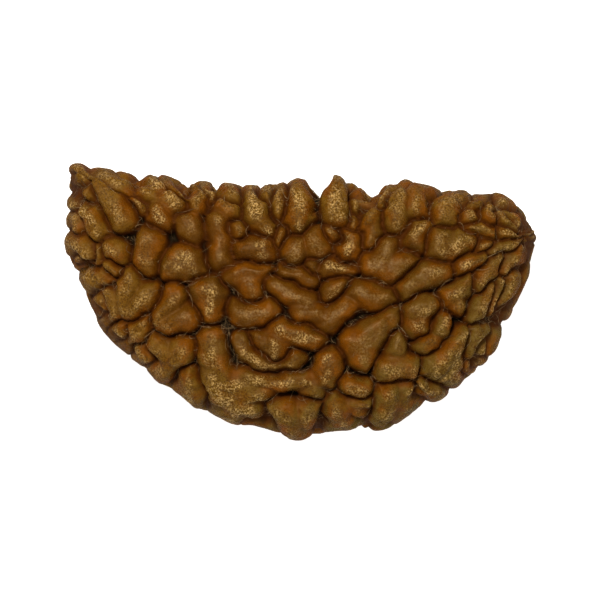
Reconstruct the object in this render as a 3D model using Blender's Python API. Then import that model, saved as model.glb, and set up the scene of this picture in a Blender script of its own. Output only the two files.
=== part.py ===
"""A half moon one mukhi rudraksha, the dried stone of one fruit.

The bead lies on its broad back face. Its straight edge points along +Y, the
narrow tip along +X, and the face with the traced lobes looks up.
"""

import math

import bmesh
import bpy
import numpy as np

# Plain sizes, in millimetres. The body is thicker above its widest level than
# below it. The rounds are the exponents of its section, first round the belly,
# then towards the straight edge: a larger one is blunter.
MM = 0.001
UPPER_HEIGHT = 7.9
LOWER_HEIGHT = 7.1
UPPER_ROUNDS = (3.9, 4.8)
LOWER_ROUNDS = (2.8, 3.6)
OUTLINE_EASE = 0.06
REST_CUT = 0.42

# The relief: how high the lobes stand, how far they spread past their half
# width on the face and on the walls, how round they are and how they meet.
LUMP_HEIGHT = 1.85
SLACK = 0.68
WALL_SLACK = 1.15
TOP_SPAN = 0.25
ROUND = 2.5
MEET = 0.30
SOFT = 0.22
CRACK_FLOOR = 0.03
CREASE_EASE = 0.04
FOLD_HALF = 0.26
FOLD_DEPTH = 0.32
PIT_SINK = 0.50
RIM_RELIEF = (0.42, 0.80)

# The notch in the straight edge, and the seam along the curved rim.
NOTCH_SINK = 2.40
NOTCH_SLOPE = 1.90
SEAM_HALF = 0.20

# How rows of lobes run on down the walls, and how high grown lobes may start.
STEP_ALONG = 0.45
WALL_REACH = 0.65
HANG_SHARE = 0.86
REACH = 2.6
RIM_START = 2.6

# Fineness of the mesh, and the seed of everything grown.
CELLS = (128, 84, 56)
FACE_LIMIT = 11250
SEED = 41

# The outline through the tops of the lobes, seen from above, clockwise.
OUTLINE = (
    (-19.70, 11.45),
    (-18.70, 11.75),
    (-17.40, 11.50),
    (-15.30, 11.20),
    (-13.60, 10.85),
    (-11.80, 10.95),
    (-10.30, 10.45),
    (-8.50, 10.45),
    (-6.60, 10.15),
    (-4.30, 10.15),
    (-2.20, 10.15),
    (-0.60, 10.45),
    (1.00, 10.45),
    (2.05, 10.60),
    (2.95, 10.75),
    (4.30, 10.20),
    (6.00, 9.50),
    (7.20, 10.00),
    (8.60, 10.30),
    (10.00, 10.15),
    (11.60, 9.70),
    (13.60, 9.50),
    (15.20, 9.40),
    (16.50, 9.35),
    (18.10, 8.50),
    (19.30, 7.20),
    (20.05, 6.00),
    (20.15, 5.00),
    (19.75, 3.60),
    (19.40, 2.00),
    (18.70, 0.40),
    (17.90, -1.20),
    (17.20, -2.40),
    (16.70, -3.60),
    (16.00, -5.00),
    (14.70, -6.20),
    (13.20, -7.40),
    (11.90, -8.50),
    (10.20, -8.95),
    (8.80, -10.00),
    (7.00, -11.05),
    (5.00, -11.00),
    (2.80, -11.15),
    (1.00, -11.55),
    (-0.50, -11.85),
    (-2.20, -11.20),
    (-4.00, -10.70),
    (-5.50, -10.65),
    (-7.20, -9.80),
    (-9.00, -9.10),
    (-10.50, -7.90),
    (-12.20, -7.00),
    (-13.40, -5.80),
    (-15.20, -4.40),
    (-16.70, -3.00),
    (-17.80, -1.20),
    (-18.60, 1.00),
    (-19.30, 2.60),
    (-19.95, 4.20),
    (-20.02, 6.30),
    (-19.92, 8.30),
    (-19.92, 10.20),
)

# Gaps that run over the rim: where they cross it, how far in they start on the
# face, how far in they end on the underside, half width.
CLEFTS = (
    (1.30, 8.90, 0.70, 0.66, 0.06),
    (-13.60, 10.80, 0.95, 0.90, 0.06),
    (-9.60, 10.30, 0.95, 0.90, 0.08),
    (-7.00, 10.10, 0.96, 0.90, 0.06),
    (6.00, 9.50, 0.95, 0.88, 0.10),
    (-19.20, 2.40, 0.95, 0.90, 0.08),
    (17.40, -2.10, 0.94, 0.88, 0.10),
    (5.00, -11.00, 0.94, 0.90, 0.08),
)

# Deep dark hollows between lobes: place and reach.
PITS = (
    (-5.40, -5.00, 0.80),
    (0.35, -5.00, 0.80),
    (4.60, -6.30, 0.70),
    (6.00, -6.10, 0.60),
    (13.40, -2.00, 0.70),
    (14.60, -0.70, 0.50),
    (-1.10, -8.10, 0.60),
    (-9.30, -6.00, 0.50),
)

# Lobes of the upper face as they were read by eye. Each lump holds one or more
# rows of (x, y, half width); rows of one lump grow together.
FACE_LUMPS = (
    # The blunt left end, from its corner down.
    (((-18.3, 11.0, 0.70), (-19.1, 10.7, 0.85), (-19.5, 9.7, 0.65)),),
    (((-18.8, 9.3, 0.50), (-18.5, 8.6, 0.50)),),
    (((-19.5, 8.2, 0.50), (-19.6, 7.0, 0.60), (-19.6, 5.9, 0.50)),),
    (((-18.2, 7.4, 0.70), (-17.6, 6.2, 0.85), (-17.3, 5.6, 0.70)),),
    (((-19.0, 4.4, 0.90), (-18.7, 3.6, 1.00)),),
    (((-17.5, 4.2, 0.35), (-17.8, 3.0, 0.35)),),
    # The long lump that slants down from the upper left, and its neighbours.
    (((-17.2, 10.7, 0.90), (-16.5, 9.0, 1.00), (-15.3, 7.2, 1.20)),),
    (((-15.5, 10.4, 0.70), (-14.6, 10.1, 0.75)),),
    (((-13.9, 8.5, 0.45), (-13.4, 7.8, 0.45)),),
    (((-16.6, 4.5, 0.60), (-15.5, 3.8, 0.65)),),
    (((-16.4, 2.6, 0.35), (-15.9, 2.5, 0.35)),),
    (((-18.0, 1.8, 0.60), (-16.9, 1.5, 0.55)),),
    # Top row, left half.
    (
        ((-12.9, 9.6, 0.75), (-11.9, 10.2, 0.65)),
        ((-11.2, 9.2, 0.75), (-10.5, 8.3, 0.75)),
        ((-12.0, 7.6, 0.80), (-11.9, 6.9, 0.90)),
    ),
    (((-9.9, 9.5, 0.40),),),
    (
        ((-8.5, 9.8, 0.55), (-8.7, 8.4, 0.70)),
        ((-9.6, 7.0, 0.70), (-9.2, 5.6, 0.75)),
    ),
    (((-7.5, 9.5, 0.35), (-7.5, 9.0, 0.30)),),
    (
        ((-6.7, 8.7, 0.60), (-5.9, 7.9, 0.65)),
        ((-6.9, 6.9, 0.60), (-6.8, 5.0, 0.65), (-6.8, 3.5, 0.75)),
    ),
    (((-5.7, 9.5, 0.55),),),
    (
        ((-4.1, 9.4, 0.60), (-3.9, 8.0, 0.85), (-3.6, 7.4, 0.80)),
        ((-3.0, 6.5, 0.70), (-2.8, 5.9, 0.60)),
    ),
    (((-2.9, 9.5, 0.50),),),
    (((-1.8, 9.1, 0.45), (-1.9, 7.8, 0.50)),),
    (((-0.55, 9.7, 0.70), (-0.2, 8.3, 1.12), (-0.25, 7.0, 1.00), (-0.3, 6.1, 0.70)),),
    (((-5.3, 6.2, 0.35), (-5.2, 5.6, 0.30)),),
    (((-1.6, 5.7, 0.45), (-1.9, 5.1, 0.35)),),
    # Top row, right half, from the notch on.
    (((2.95, 9.9, 0.85), (3.0, 8.4, 1.20), (3.0, 7.3, 1.05)),),
    (((4.9, 8.8, 0.38), (4.8, 8.0, 0.30)), ((5.5, 8.9, 0.42),)),
    (((4.5, 7.3, 0.25), (4.4, 6.5, 0.25)),),
    (
        ((5.8, 7.5, 0.70), (5.7, 6.7, 0.75)),
        ((6.1, 5.8, 0.60), (5.9, 5.0, 0.45)),
    ),
    (((6.5, 8.9, 0.45), (6.9, 8.5, 0.40)),),
    (
        ((8.1, 9.3, 0.82), (8.0, 8.0, 1.05), (8.1, 6.9, 0.92), (8.1, 6.2, 0.55)),
        ((9.8, 9.4, 0.65), (9.7, 8.3, 0.60), (9.9, 7.6, 0.45)),
    ),
    (((12.3, 8.5, 1.00), (12.2, 7.4, 1.00)),),
    (((13.9, 8.8, 0.50), (15.2, 8.5, 0.55)), ((14.2, 7.8, 0.50), (14.3, 7.2, 0.50))),
    (((15.7, 8.0, 0.60), (16.3, 7.4, 0.60)),),
    (((14.5, 6.1, 0.45), (15.6, 6.1, 0.50), (16.5, 5.9, 0.45)),),
    # The right tip, where the ridges run together.
    (((16.5, 8.9, 0.50), (17.5, 8.3, 0.45), (18.6, 7.2, 0.40), (19.2, 6.4, 0.35)),),
    (((16.9, 7.8, 0.50), (18.0, 6.9, 0.45), (18.9, 6.2, 0.32)),),
    (((17.3, 5.95, 0.42), (18.4, 5.75, 0.38), (19.3, 5.6, 0.28)),),
    (((19.8, 5.2, 0.35), (19.7, 4.5, 0.35)),),
    (((15.3, 4.7, 0.45), (16.0, 4.6, 0.35)),),
    (((16.5, 4.0, 0.42), (17.7, 4.45, 0.45), (18.9, 5.0, 0.32)),),
    (((19.1, 4.1, 0.42), (18.5, 3.4, 0.52), (17.7, 2.4, 0.45)),),
    (((17.1, 3.5, 0.45), (16.4, 2.7, 0.60), (15.4, 1.4, 0.65)),),
    (((13.7, 2.9, 0.50), (14.6, 3.3, 0.50), (15.6, 3.4, 0.35)),),
    # Second row.
    (((-12.8, 5.1, 0.88), (-13.1, 3.4, 1.00)),),
    (((-10.9, 2.8, 0.90), (-9.6, 3.5, 1.10), (-9.1, 2.8, 0.90)),),
    (((-4.5, 4.3, 1.00), (-3.2, 4.4, 1.08)),),
    (
        ((-0.4, 5.0, 0.72), (-0.6, 3.9, 0.92)),
        ((1.1, 5.3, 0.78), (1.5, 4.3, 0.98)),
    ),
    (((2.4, 6.0, 0.35), (3.2, 5.4, 0.40)),),
    (((4.0, 5.4, 0.65), (4.0, 4.4, 0.80), (3.9, 3.7, 0.62)),),
    (
        ((7.3, 4.7, 0.75), (7.0, 3.6, 0.90)),
        ((5.9, 3.2, 0.75), (6.8, 2.6, 0.95)),
        ((8.0, 2.7, 0.95), (8.9, 3.4, 0.75)),
    ),
    (((10.0, 6.5, 0.65), (9.4, 5.7, 0.85), (9.4, 4.9, 0.75)),),
    (
        ((11.9, 5.3, 0.80), (11.8, 4.3, 0.90)),
        ((12.8, 4.3, 0.80), (13.6, 5.2, 0.70), (14.7, 5.0, 0.50)),
    ),
    # Third row.
    (((2.3, 3.0, 0.65), (3.7, 2.8, 0.60)), ((0.9, 3.2, 0.40),)),
    (((-1.2, 2.6, 0.50), (-0.2, 2.2, 0.60), (0.7, 1.7, 0.45)),),
    (
        ((-5.6, 2.1, 0.60), (-4.5, 2.5, 0.70), (-3.3, 2.5, 0.60)),
        ((-4.3, 1.5, 0.75), (-4.1, 0.5, 0.60)),
    ),
    (
        ((-8.2, 0.9, 0.90), (-7.4, 0.9, 0.90)),
        ((-7.7, -0.1, 0.85), (-7.7, -1.0, 0.65)),
    ),
    (
        ((-1.9, 1.2, 0.55), (-0.8, 0.6, 0.65), (0.6, -0.2, 0.60)),
        ((0.2, -0.9, 0.65), (1.4, -1.0, 0.75)),
        ((3.8, -0.3, 0.60), (2.8, -1.2, 0.75), (2.1, -1.7, 0.75)),
        ((4.6, 0.8, 0.70), (5.8, 0.5, 0.95), (6.9, 0.3, 0.70)),
    ),
    (((3.3, 1.4, 0.50), (2.7, 0.8, 0.60), (2.5, 0.2, 0.40)),),
    (((8.9, 1.1, 0.65), (10.5, 2.1, 0.85), (11.9, 2.6, 0.80)),),
    (
        ((12.6, 0.3, 0.70), (13.5, 0.5, 0.80), (14.3, 1.5, 0.50)),
        ((13.4, -0.6, 0.75),),
    ),
    # The hand of four fingers at the left.
    (
        ((-14.6, 1.7, 0.80), (-15.0, 0.4, 0.75), (-15.2, -1.0, 0.60)),
        ((-12.8, 0.7, 0.60), (-13.8, -0.2, 0.65), (-14.4, -1.2, 0.60)),
        ((-16.8, 0.6, 0.55), (-16.3, -0.6, 0.70), (-16.2, -1.5, 0.55)),
    ),
    (
        ((-10.7, 0.5, 0.65), (-11.4, -0.7, 0.65), (-12.1, -1.7, 0.70)),
        ((-9.6, -1.5, 0.75), (-11.2, -2.1, 0.75)),
    ),
    (((-13.3, -2.1, 0.50), (-14.3, -2.8, 0.70), (-14.4, -3.7, 0.55)),),
    (((-17.4, -0.2, 0.40), (-17.0, -1.4, 0.45)),),
    (((-15.9, -2.5, 0.50), (-15.3, -3.7, 0.45)),),
    # Fourth row.
    (((-5.2, -0.8, 0.85), (-4.2, -1.2, 0.90), (-3.0, -0.9, 0.80)),),
    (
        ((-1.9, -2.4, 0.60), (-0.5, -2.9, 0.75), (1.2, -3.3, 0.60)),
        ((-2.4, -3.6, 0.75), (-2.0, -4.6, 0.80)),
        ((-3.6, -3.0, 0.50), (-3.2, -3.9, 0.50)),
    ),
    (
        ((-5.0, -3.4, 0.45), (-4.5, -4.5, 0.60), (-3.5, -5.4, 0.60), (-2.2, -5.6, 0.55)),
        ((-2.2, -5.6, 0.55), (-1.0, -5.4, 0.50), (-0.3, -4.8, 0.35)),
    ),
    (
        ((7.7, -1.3, 0.55), (6.6, -2.3, 0.85), (5.3, -3.7, 1.15), (5.2, -4.9, 0.85)),
        ((4.3, -3.5, 0.75),),
    ),
    (
        ((9.7, -1.0, 1.00), (10.8, -0.6, 0.80)),
        ((9.9, -2.1, 0.85),),
    ),
    (
        ((12.2, -1.6, 0.50), (11.9, -2.5, 0.60)),
        ((10.5, -3.8, 0.65), (11.3, -3.5, 0.55)),
    ),
    (((16.3, 0.8, 0.50), (15.5, -0.6, 0.75), (15.1, -1.5, 0.60)),),
    (((17.3, 1.5, 0.40), (16.9, 0.0, 0.40), (16.6, -1.1, 0.35)),),
    (((18.4, 1.9, 0.40), (17.9, 0.3, 0.45), (17.3, -1.0, 0.45)),),
    # Fifth row.
    (
        ((-12.4, -4.3, 0.85), (-11.7, -5.2, 0.90)),
        ((-10.1, -4.2, 0.80), (-10.7, -5.2, 0.85)),
        ((-11.6, -6.0, 0.70),),
    ),
    (((-14.2, -4.5, 0.40), (-13.3, -5.3, 0.40)),),
    (
        ((-7.6, -3.5, 0.85), (-7.7, -4.8, 0.95), (-6.9, -6.6, 0.95), (-5.6, -7.5, 1.00)),
        ((-4.6, -6.7, 0.70), (-2.6, -6.9, 0.75), (-0.8, -6.8, 0.60), (0.5, -7.1, 0.50)),
        ((-7.7, -6.8, 0.90), (-7.0, -8.2, 1.05), (-5.6, -9.3, 1.00), (-4.3, -9.6, 0.85)),
        ((-5.6, -7.5, 1.10), (-4.6, -8.2, 1.10), (-3.5, -8.2, 0.80)),
        ((1.0, -7.5, 0.60), (1.1, -8.1, 0.75)),
        ((2.3, -4.8, 0.75), (2.3, -5.8, 0.95), (2.2, -6.6, 0.75)),
    ),
    (
        ((8.2, -3.4, 0.50), (8.1, -4.2, 0.65)),
        ((7.4, -5.9, 0.90), (9.2, -6.0, 0.95)),
    ),
    (
        ((13.8, -3.0, 0.55), (13.2, -4.3, 0.90), (12.3, -5.5, 1.15), (11.3, -6.2, 0.95)),
        ((13.4, -5.6, 0.85), (12.6, -6.7, 0.85)),
    ),
    (((15.5, -2.7, 0.55), (15.0, -3.9, 0.62), (14.5, -5.1, 0.50)),),
    (((15.9, -4.2, 0.40), (15.2, -5.3, 0.40), (14.3, -6.2, 0.45)),),
    # The bottom edge, left to right.
    (((-9.6, -6.9, 0.65), (-9.4, -8.1, 0.70)),),
    (
        ((-2.4, -9.4, 0.60), (-1.5, -9.8, 0.95), (-0.8, -10.8, 0.80)),
        ((0.8, -9.3, 0.75), (0.3, -10.4, 0.80)),
    ),
    (
        ((2.8, -8.6, 0.50), (3.0, -9.6, 0.85), (3.6, -10.3, 0.70)),
        ((4.9, -9.2, 0.65), (5.6, -9.1, 0.60)),
        ((4.9, -9.9, 0.65),),
    ),
    (((4.2, -7.4, 0.75), (5.3, -7.7, 0.75)),),
    (
        ((7.6, -8.1, 0.90), (7.6, -9.2, 1.00), (6.7, -10.2, 0.80)),
        ((9.1, -8.0, 0.60), (8.7, -8.9, 0.70)),
    ),
    (((10.3, -7.6, 0.75), (11.4, -8.0, 0.75)),),
)


def outline_curve():
    """The outline as a dense smooth curve: directions and distances from the middle."""
    corners = np.array(OUTLINE)
    before = np.roll(corners, 1, axis=0)
    after = np.roll(corners, -1, axis=0)
    beyond = np.roll(corners, -2, axis=0)
    curve = []
    for share in np.linspace(0.0, 1.0, 12, endpoint=False):
        curve.append(
            0.5
            * (
                2.0 * corners
                + (after - before) * share
                + (2.0 * before - 5.0 * corners + 4.0 * after - beyond) * share**2
                + (3.0 * corners - before - 3.0 * after + beyond) * share**3
            )
        )
    curve = np.concatenate(curve)
    around = np.arctan2(curve[:, 1], curve[:, 0])
    order = np.argsort(around)
    around = around[order]
    reach = np.hypot(curve[:, 0], curve[:, 1])[order] + OUTLINE_EASE
    around = np.concatenate([[around[-1] - 2.0 * math.pi], around, [around[0] + 2.0 * math.pi]])
    return around, np.concatenate([[reach[-1]], reach, [reach[0]]])


AROUND, OUT_REACH = outline_curve()


def outline_radius(angles):
    """Distance from the middle of the bead to its outline, in each direction."""
    return np.interp(angles, AROUND, OUT_REACH)


def smooth_step(share):
    """0 below 0, 1 above 1, and a smooth change between."""
    share = np.clip(share, 0.0, 1.0)
    return share * share * (3.0 - 2.0 * share)


def edge_blend(angles):
    """1 towards the straight edge and 0 round the belly."""
    return smooth_step((np.sin(angles) - 0.12) / 0.40)


def bluntness(angles, upper):
    """Exponent of the section in each direction: the straight edge is blunter."""
    blend = edge_blend(angles)
    top = UPPER_ROUNDS[0] + (UPPER_ROUNDS[1] - UPPER_ROUNDS[0]) * blend
    bottom = LOWER_ROUNDS[0] + (LOWER_ROUNDS[1] - LOWER_ROUNDS[0]) * blend
    return np.where(upper, top, bottom)


def body_height(share, angles, upper):
    """Height above or depth below the rim plane at a share of the way out."""
    share = np.clip(share, 0.0, 1.0)
    power = bluntness(angles, upper)
    half = np.where(upper, UPPER_HEIGHT, -LOWER_HEIGHT)
    return half * (1.0 - share**power) ** (1.0 / power)


def body_points(directions):
    """Points of the smooth body met along unit directions."""
    flat = np.hypot(directions[:, 0], directions[:, 1])
    tall = np.abs(directions[:, 2])
    upper = directions[:, 2] >= 0.0
    angle = np.arctan2(11.3 * directions[:, 1], 20.0 * directions[:, 0])
    power = bluntness(angle, upper)
    scale = (flat**power + tall**power) ** (-1.0 / power)
    out = scale * flat * outline_radius(angle)
    half = np.where(upper, UPPER_HEIGHT, LOWER_HEIGHT)
    height = np.sign(directions[:, 2]) * half * scale * tall
    return np.column_stack([out * np.cos(angle), out * np.sin(angle), height])


def place(x, y, upper=True):
    """The point of the smooth body above (or below) a place in plan."""
    x = np.asarray(x, dtype=float)
    y = np.asarray(y, dtype=float)
    angle = np.arctan2(y, x)
    limit = outline_radius(angle)
    share = np.minimum(np.hypot(x, y) / limit, 0.995)
    out = share * limit
    height = body_height(share, angle, upper)
    return np.column_stack([out * np.cos(angle), out * np.sin(angle), height])


def box_grid(cells):
    """Corners and outward quads of a box cut into small cells on every side."""
    counts = np.array(cells)
    quads = []
    for axis in range(3):
        first = (axis + 1) % 3
        second = (axis + 2) % 3
        i, j = np.meshgrid(np.arange(counts[first]), np.arange(counts[second]), indexing="ij")
        for level in (0, counts[axis]):
            ring = [(0, 0), (1, 0), (1, 1), (0, 1)]
            if level == 0:
                ring = ring[::-1]
            corners = []
            for di, dj in ring:
                corner = np.zeros((i.size, 3), dtype=int)
                corner[:, axis] = level
                corner[:, first] = (i + di).ravel()
                corner[:, second] = (j + dj).ravel()
                corners.append(corner)
            quads.append(np.stack(corners, axis=1))
    quads = np.concatenate(quads)
    span = counts + 1
    codes = quads[:, :, 0] + span[0] * (quads[:, :, 1] + span[1] * quads[:, :, 2])
    unique, inverse = np.unique(codes.ravel(), return_inverse=True)
    places = np.column_stack([unique % span[0], (unique // span[0]) % span[1], unique // (span[0] * span[1])])
    turned = np.tan((2.0 * places / counts - 1.0) * math.pi / 4.0)
    directions = turned / np.linalg.norm(turned, axis=1)[:, None]
    return directions, inverse.reshape(-1, 4)


def make_mesh(name, points, faces):
    """A mesh from points in millimetres and a list of faces."""
    mesh = bpy.data.meshes.new(name)
    mesh.from_pydata((points * MM).tolist(), [], faces.tolist())
    mesh.update()
    return mesh


def outward(mesh):
    """Outward directions at the corners of a mesh."""
    normals = np.zeros(len(mesh.vertices) * 3, dtype=np.float32)
    mesh.vertex_normals.foreach_get("vector", normals)
    return normals.reshape(-1, 3).astype(float)


def waves(points, rng, length, count=9):
    """A smooth random field between about -1 and 1 with one typical length."""
    total = np.zeros(len(points))
    for _ in range(count):
        way = rng.normal(size=3)
        way *= 2.0 * math.pi / (length * np.linalg.norm(way) * rng.uniform(0.75, 1.35))
        total += np.sin(points @ way + rng.uniform(0.0, 2.0 * math.pi))
    return total / math.sqrt(0.5 * count) * 0.6


def fine_row(row):
    """One traced row as closely spaced points on the upper face."""
    row = np.array(row, dtype=float)
    pieces = [row[:1]]
    for start, end in zip(row[:-1], row[1:]):
        steps = max(1, int(math.ceil(np.hypot(*(end - start)[:2]) / STEP_ALONG)))
        share = np.linspace(0.0, 1.0, steps + 1)[1:, None]
        pieces.append(start + (end - start) * share)
    row = np.concatenate(pieces)
    return np.column_stack([place(row[:, 0], row[:, 1]), row[:, 2]])


def body_normals(points):
    """Outward directions of the smooth body at points lying on it."""
    step = 0.05
    level = []
    for axis in range(3):
        push = np.zeros(3)
        push[axis] = step
        level.append(body_level(points + push) - body_level(points - push))
    level = np.column_stack(level)
    return level / np.linalg.norm(level, axis=1)[:, None]


def body_level(points):
    """Grows outward and is 1 on the smooth body."""
    angle = np.arctan2(points[:, 1], points[:, 0])
    share = np.hypot(points[:, 0], points[:, 1]) / outline_radius(angle)
    upper = points[:, 2] >= 0.0
    power = bluntness(angle, upper)
    half = np.where(upper, UPPER_HEIGHT, LOWER_HEIGHT)
    return share**power + (np.abs(points[:, 2]) / half) ** power


def pull_to_body(points):
    """Slides points onto the smooth body along rays from its middle."""
    angle = np.arctan2(points[:, 1], points[:, 0])
    limit = outline_radius(angle)
    share = np.hypot(points[:, 0], points[:, 1]) / limit
    upper = points[:, 2] >= 0.0
    power = bluntness(angle, upper)
    half = np.where(upper, UPPER_HEIGHT, LOWER_HEIGHT)
    tall = np.abs(points[:, 2]) / half
    scale = (share**power + tall**power) ** (-1.0 / power)
    return points * scale[:, None]


def seam_line():
    """The one seam: it follows the curved rim from the narrow tip to the blunt end."""
    angle = np.radians(np.linspace(14.0, -190.0, 150))
    angle = np.where(angle < -math.pi, angle + 2.0 * math.pi, angle)
    reach = outline_radius(angle) * 0.995
    sway = 0.35 * np.sin(angle * 5.0 + 0.6) + 0.2 * np.sin(angle * 13.0)
    return np.column_stack([reach * np.cos(angle), reach * np.sin(angle), sway])


def cleft_line(x, y, inner, under):
    """A gap that comes out of the face, crosses the rim and ends on the underside."""
    angle = math.atan2(y, x)
    limit = outline_radius(angle)
    share = np.concatenate([np.linspace(inner, 0.99, 9), np.linspace(0.985, under, 5)])
    upper = np.arange(14) < 9
    out = limit * share
    sway = 0.10 * np.sin(np.arange(14) * 1.1 + x)
    turned = angle + sway / limit
    height = body_height(share, np.full(14, angle), upper)
    return np.column_stack([out * np.cos(turned), out * np.sin(turned), height])


def hanging(start):
    """Points that run on from a start near the rim, straight down the wall."""
    angle = math.atan2(start[1], start[0])
    limit = outline_radius(np.array([angle]))[0]
    bottom = -0.2 + 1.1 * math.sin(3.0 * start[0])
    if math.sin(angle) < 0.25:
        bottom = 0.7 + 0.3 * math.sin(4.0 * start[0])
        if start[3] < 0.40:
            bottom = max(bottom, start[2] - 1.8)
    count = max(4, int((start[2] - bottom) / STEP_ALONG))
    height = np.linspace(start[2], bottom, count)[1:]
    power = bluntness(np.full(count - 1, angle), height >= 0.0)
    tall = np.where(height >= 0.0, UPPER_HEIGHT, LOWER_HEIGHT)
    out = limit * (1.0 - (np.abs(height) / tall) ** power) ** (1.0 / power)
    turned = angle + (start[2] - height) * 0.08 * math.sin(5.0 * start[0]) / limit
    width = start[3] + (max(start[3] * 0.85, 0.60) - start[3]) * np.linspace(0.0, 1.0, count - 1)
    return np.column_stack([out * np.cos(turned), out * np.sin(turned), height, width])


def hang_over(traced):
    """Lets every traced lump that comes near the rim run on over it."""
    for lump in traced:
        every = np.concatenate(lump)
        limit = outline_radius(np.arctan2(every[:, 1], every[:, 0]))
        share = np.hypot(every[:, 0], every[:, 1]) / limit
        if share.max() < HANG_SHARE:
            continue
        start = every[np.argmax(share)]
        run = hanging(start)
        for number, row in enumerate(lump):
            if np.allclose(row[0], start):
                lump[number] = np.vstack([run[::-1], row])
                break
            if np.allclose(row[-1], start):
                lump[number] = np.vstack([row, run])
                break
        else:
            lump.append(np.vstack([start, run]))


def grow_row(start, heading, length, half, rng):
    """A row of points that wanders over the body from a start in a heading."""
    spot = start.copy()
    row = [np.append(spot, half * rng.uniform(0.85, 1.0))]
    steps = int(round(length / STEP_ALONG))
    bend = rng.uniform(-0.25, 0.25)
    swell = rng.uniform(0.9, 1.15)
    for number in range(steps):
        normal = body_normals(spot[None])[0]
        side = np.cross(normal, heading)
        heading = heading + side * bend * STEP_ALONG
        heading = heading - normal * np.dot(heading, normal)
        heading /= np.linalg.norm(heading)
        spot = pull_to_body((spot + heading * STEP_ALONG)[None])[0]
        share = (number + 1.0) / max(1, steps)
        row.append(np.append(spot, half * (1.0 + (swell - 1.0) * math.sin(math.pi * share))))
    return np.array(row), heading


def room_for(row, taken, gap):
    """True when a row keeps its distance from everything already placed."""
    apart = np.linalg.norm(taken[:, None, :3] - row[None, :, :3], axis=2)
    return bool(np.all(apart - taken[:, None, 3] - row[None, :, 3] > gap))


def grown_lumps(rng, traced, seam, clefts):
    """Fills rim and back with lobes of the same family as the traced ones."""
    taken = np.concatenate([np.concatenate(lump) for lump in traced])
    for line in [seam] + clefts:
        taken = np.concatenate([taken, np.column_stack([line, np.full(len(line), 0.06)])])
    lumps = []
    rounds = (
        (1500, 0.72, 0.98, 1.2, 3.4, 0.10),
        (2600, 0.52, 0.72, 0.6, 2.2, 0.08),
        (3200, 0.38, 0.50, 0.0, 0.9, 0.04),
    )
    for tries, thin, fat, short, long, gap in rounds:
        for _ in range(tries):
            way = rng.normal(size=3)
            way /= np.linalg.norm(way)
            start = body_points(way[None])[0]
            angle = math.atan2(start[1], start[0])
            share = math.hypot(start[0], start[1]) / outline_radius(np.array([angle]))[0]
            turn = rng.normal(0.0, 1.0)
            half = rng.uniform(thin, fat)
            length = rng.uniform(short, long)
            branch = rng.uniform()
            fork = rng.uniform(1.0, 1.7) * (1.0 if rng.uniform() < 0.5 else -1.0)
            if start[2] > RIM_START or (start[2] > 0.5 and half < 0.6):
                continue
            lone = np.append(start, half * 0.85)[None]
            if not room_for(lone, taken, gap):
                continue
            normal = body_normals(start[None])[0]
            near_seam = np.linalg.norm(seam - start, axis=1)
            if near_seam.min() < 2.2:
                nearest = int(np.clip(np.argmin(near_seam), 1, len(seam) - 2))
                heading = seam[nearest + 1] - seam[nearest - 1]
                spread = 0.12
                half = min(half, 0.62)
                length = length * 1.3 + 0.6
            elif share > 0.86 and start[1] > 0.0:
                heading = np.array([0.0, 0.0, 1.0])
                spread = 0.3
            else:
                heading = np.array([start[0] * 0.25, start[1], 0.0])
                spread = 0.75
            heading = heading - normal * np.dot(heading, normal)
            heading /= np.linalg.norm(heading)
            side = np.cross(normal, heading)
            heading = heading * math.cos(turn * spread) + side * math.sin(turn * spread)
            row, _ = grow_row(start, heading, length, half, rng)
            if not room_for(row, taken, gap):
                continue
            lump = [row]
            if branch < 0.35 and length > 1.0 and near_seam.min() > 3.0:
                root = row[len(row) // 2]
                normal = body_normals(root[None, :3])[0]
                side = np.cross(normal, heading)
                limb = heading * math.cos(fork) + side * math.sin(fork)
                arm, _ = grow_row(root[:3], limb, half + rng.uniform(0.6, 1.4), half * 0.9, rng)
                if room_for(arm, taken, gap):
                    lump.append(arm)
            lumps.append(lump)
            taken = np.concatenate([taken] + lump)
    return lumps


def row_depth(query, row):
    """How far inside a tapering row each point lies, and the half width there."""
    if len(row) == 1:
        away = np.linalg.norm(query - row[0, :3], axis=1)
        return row[0, 3] - away, np.full(len(query), row[0, 3])
    best = np.full(len(query), -9.0)
    width = np.full(len(query), row[0, 3])
    for start, end in zip(row[:-1], row[1:]):
        along = end[:3] - start[:3]
        share = np.clip((query - start[:3]) @ along / (along @ along), 0.0, 1.0)
        half = start[3] + (end[3] - start[3]) * share
        away = np.linalg.norm(query - start[:3] - share[:, None] * along, axis=1)
        depth = half - away
        better = depth > best
        best = np.where(better, depth, best)
        width = np.where(better, half, width)
    return best, width


def levelled(points):
    """Heights above the rim count for less, so that traced lobes reach down the walls."""
    height = np.where(points[:, 2] > 0.0, points[:, 2] * WALL_REACH, points[:, 2])
    return np.column_stack([points[:, :2], height, points[:, 3:]])


def reach_out(points):
    """How far lobes spread past their half width: more on the walls, which they cover."""
    tall = np.abs(points[:, 2]) / np.where(points[:, 2] >= 0.0, UPPER_HEIGHT, LOWER_HEIGHT)
    return SLACK + (WALL_SLACK - SLACK) * (1.0 - smooth_step((tall - 0.30) / 0.50))


def rim_share(points):
    """1 on the face and the back, less on the walls, where the relief is shallower."""
    tall = np.abs(points[:, 2]) / np.where(points[:, 2] >= 0.0, UPPER_HEIGHT, LOWER_HEIGHT)
    straight = edge_blend(np.arctan2(points[:, 1], points[:, 0]))
    straight *= 1.0 - smooth_step((np.abs(points[:, 0]) - 12.5) / 4.0)
    wall = RIM_RELIEF[0] + (RIM_RELIEF[1] - RIM_RELIEF[0]) * straight
    return wall + (1.0 - wall) * smooth_step((tall - 0.25) / 0.50)


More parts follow.
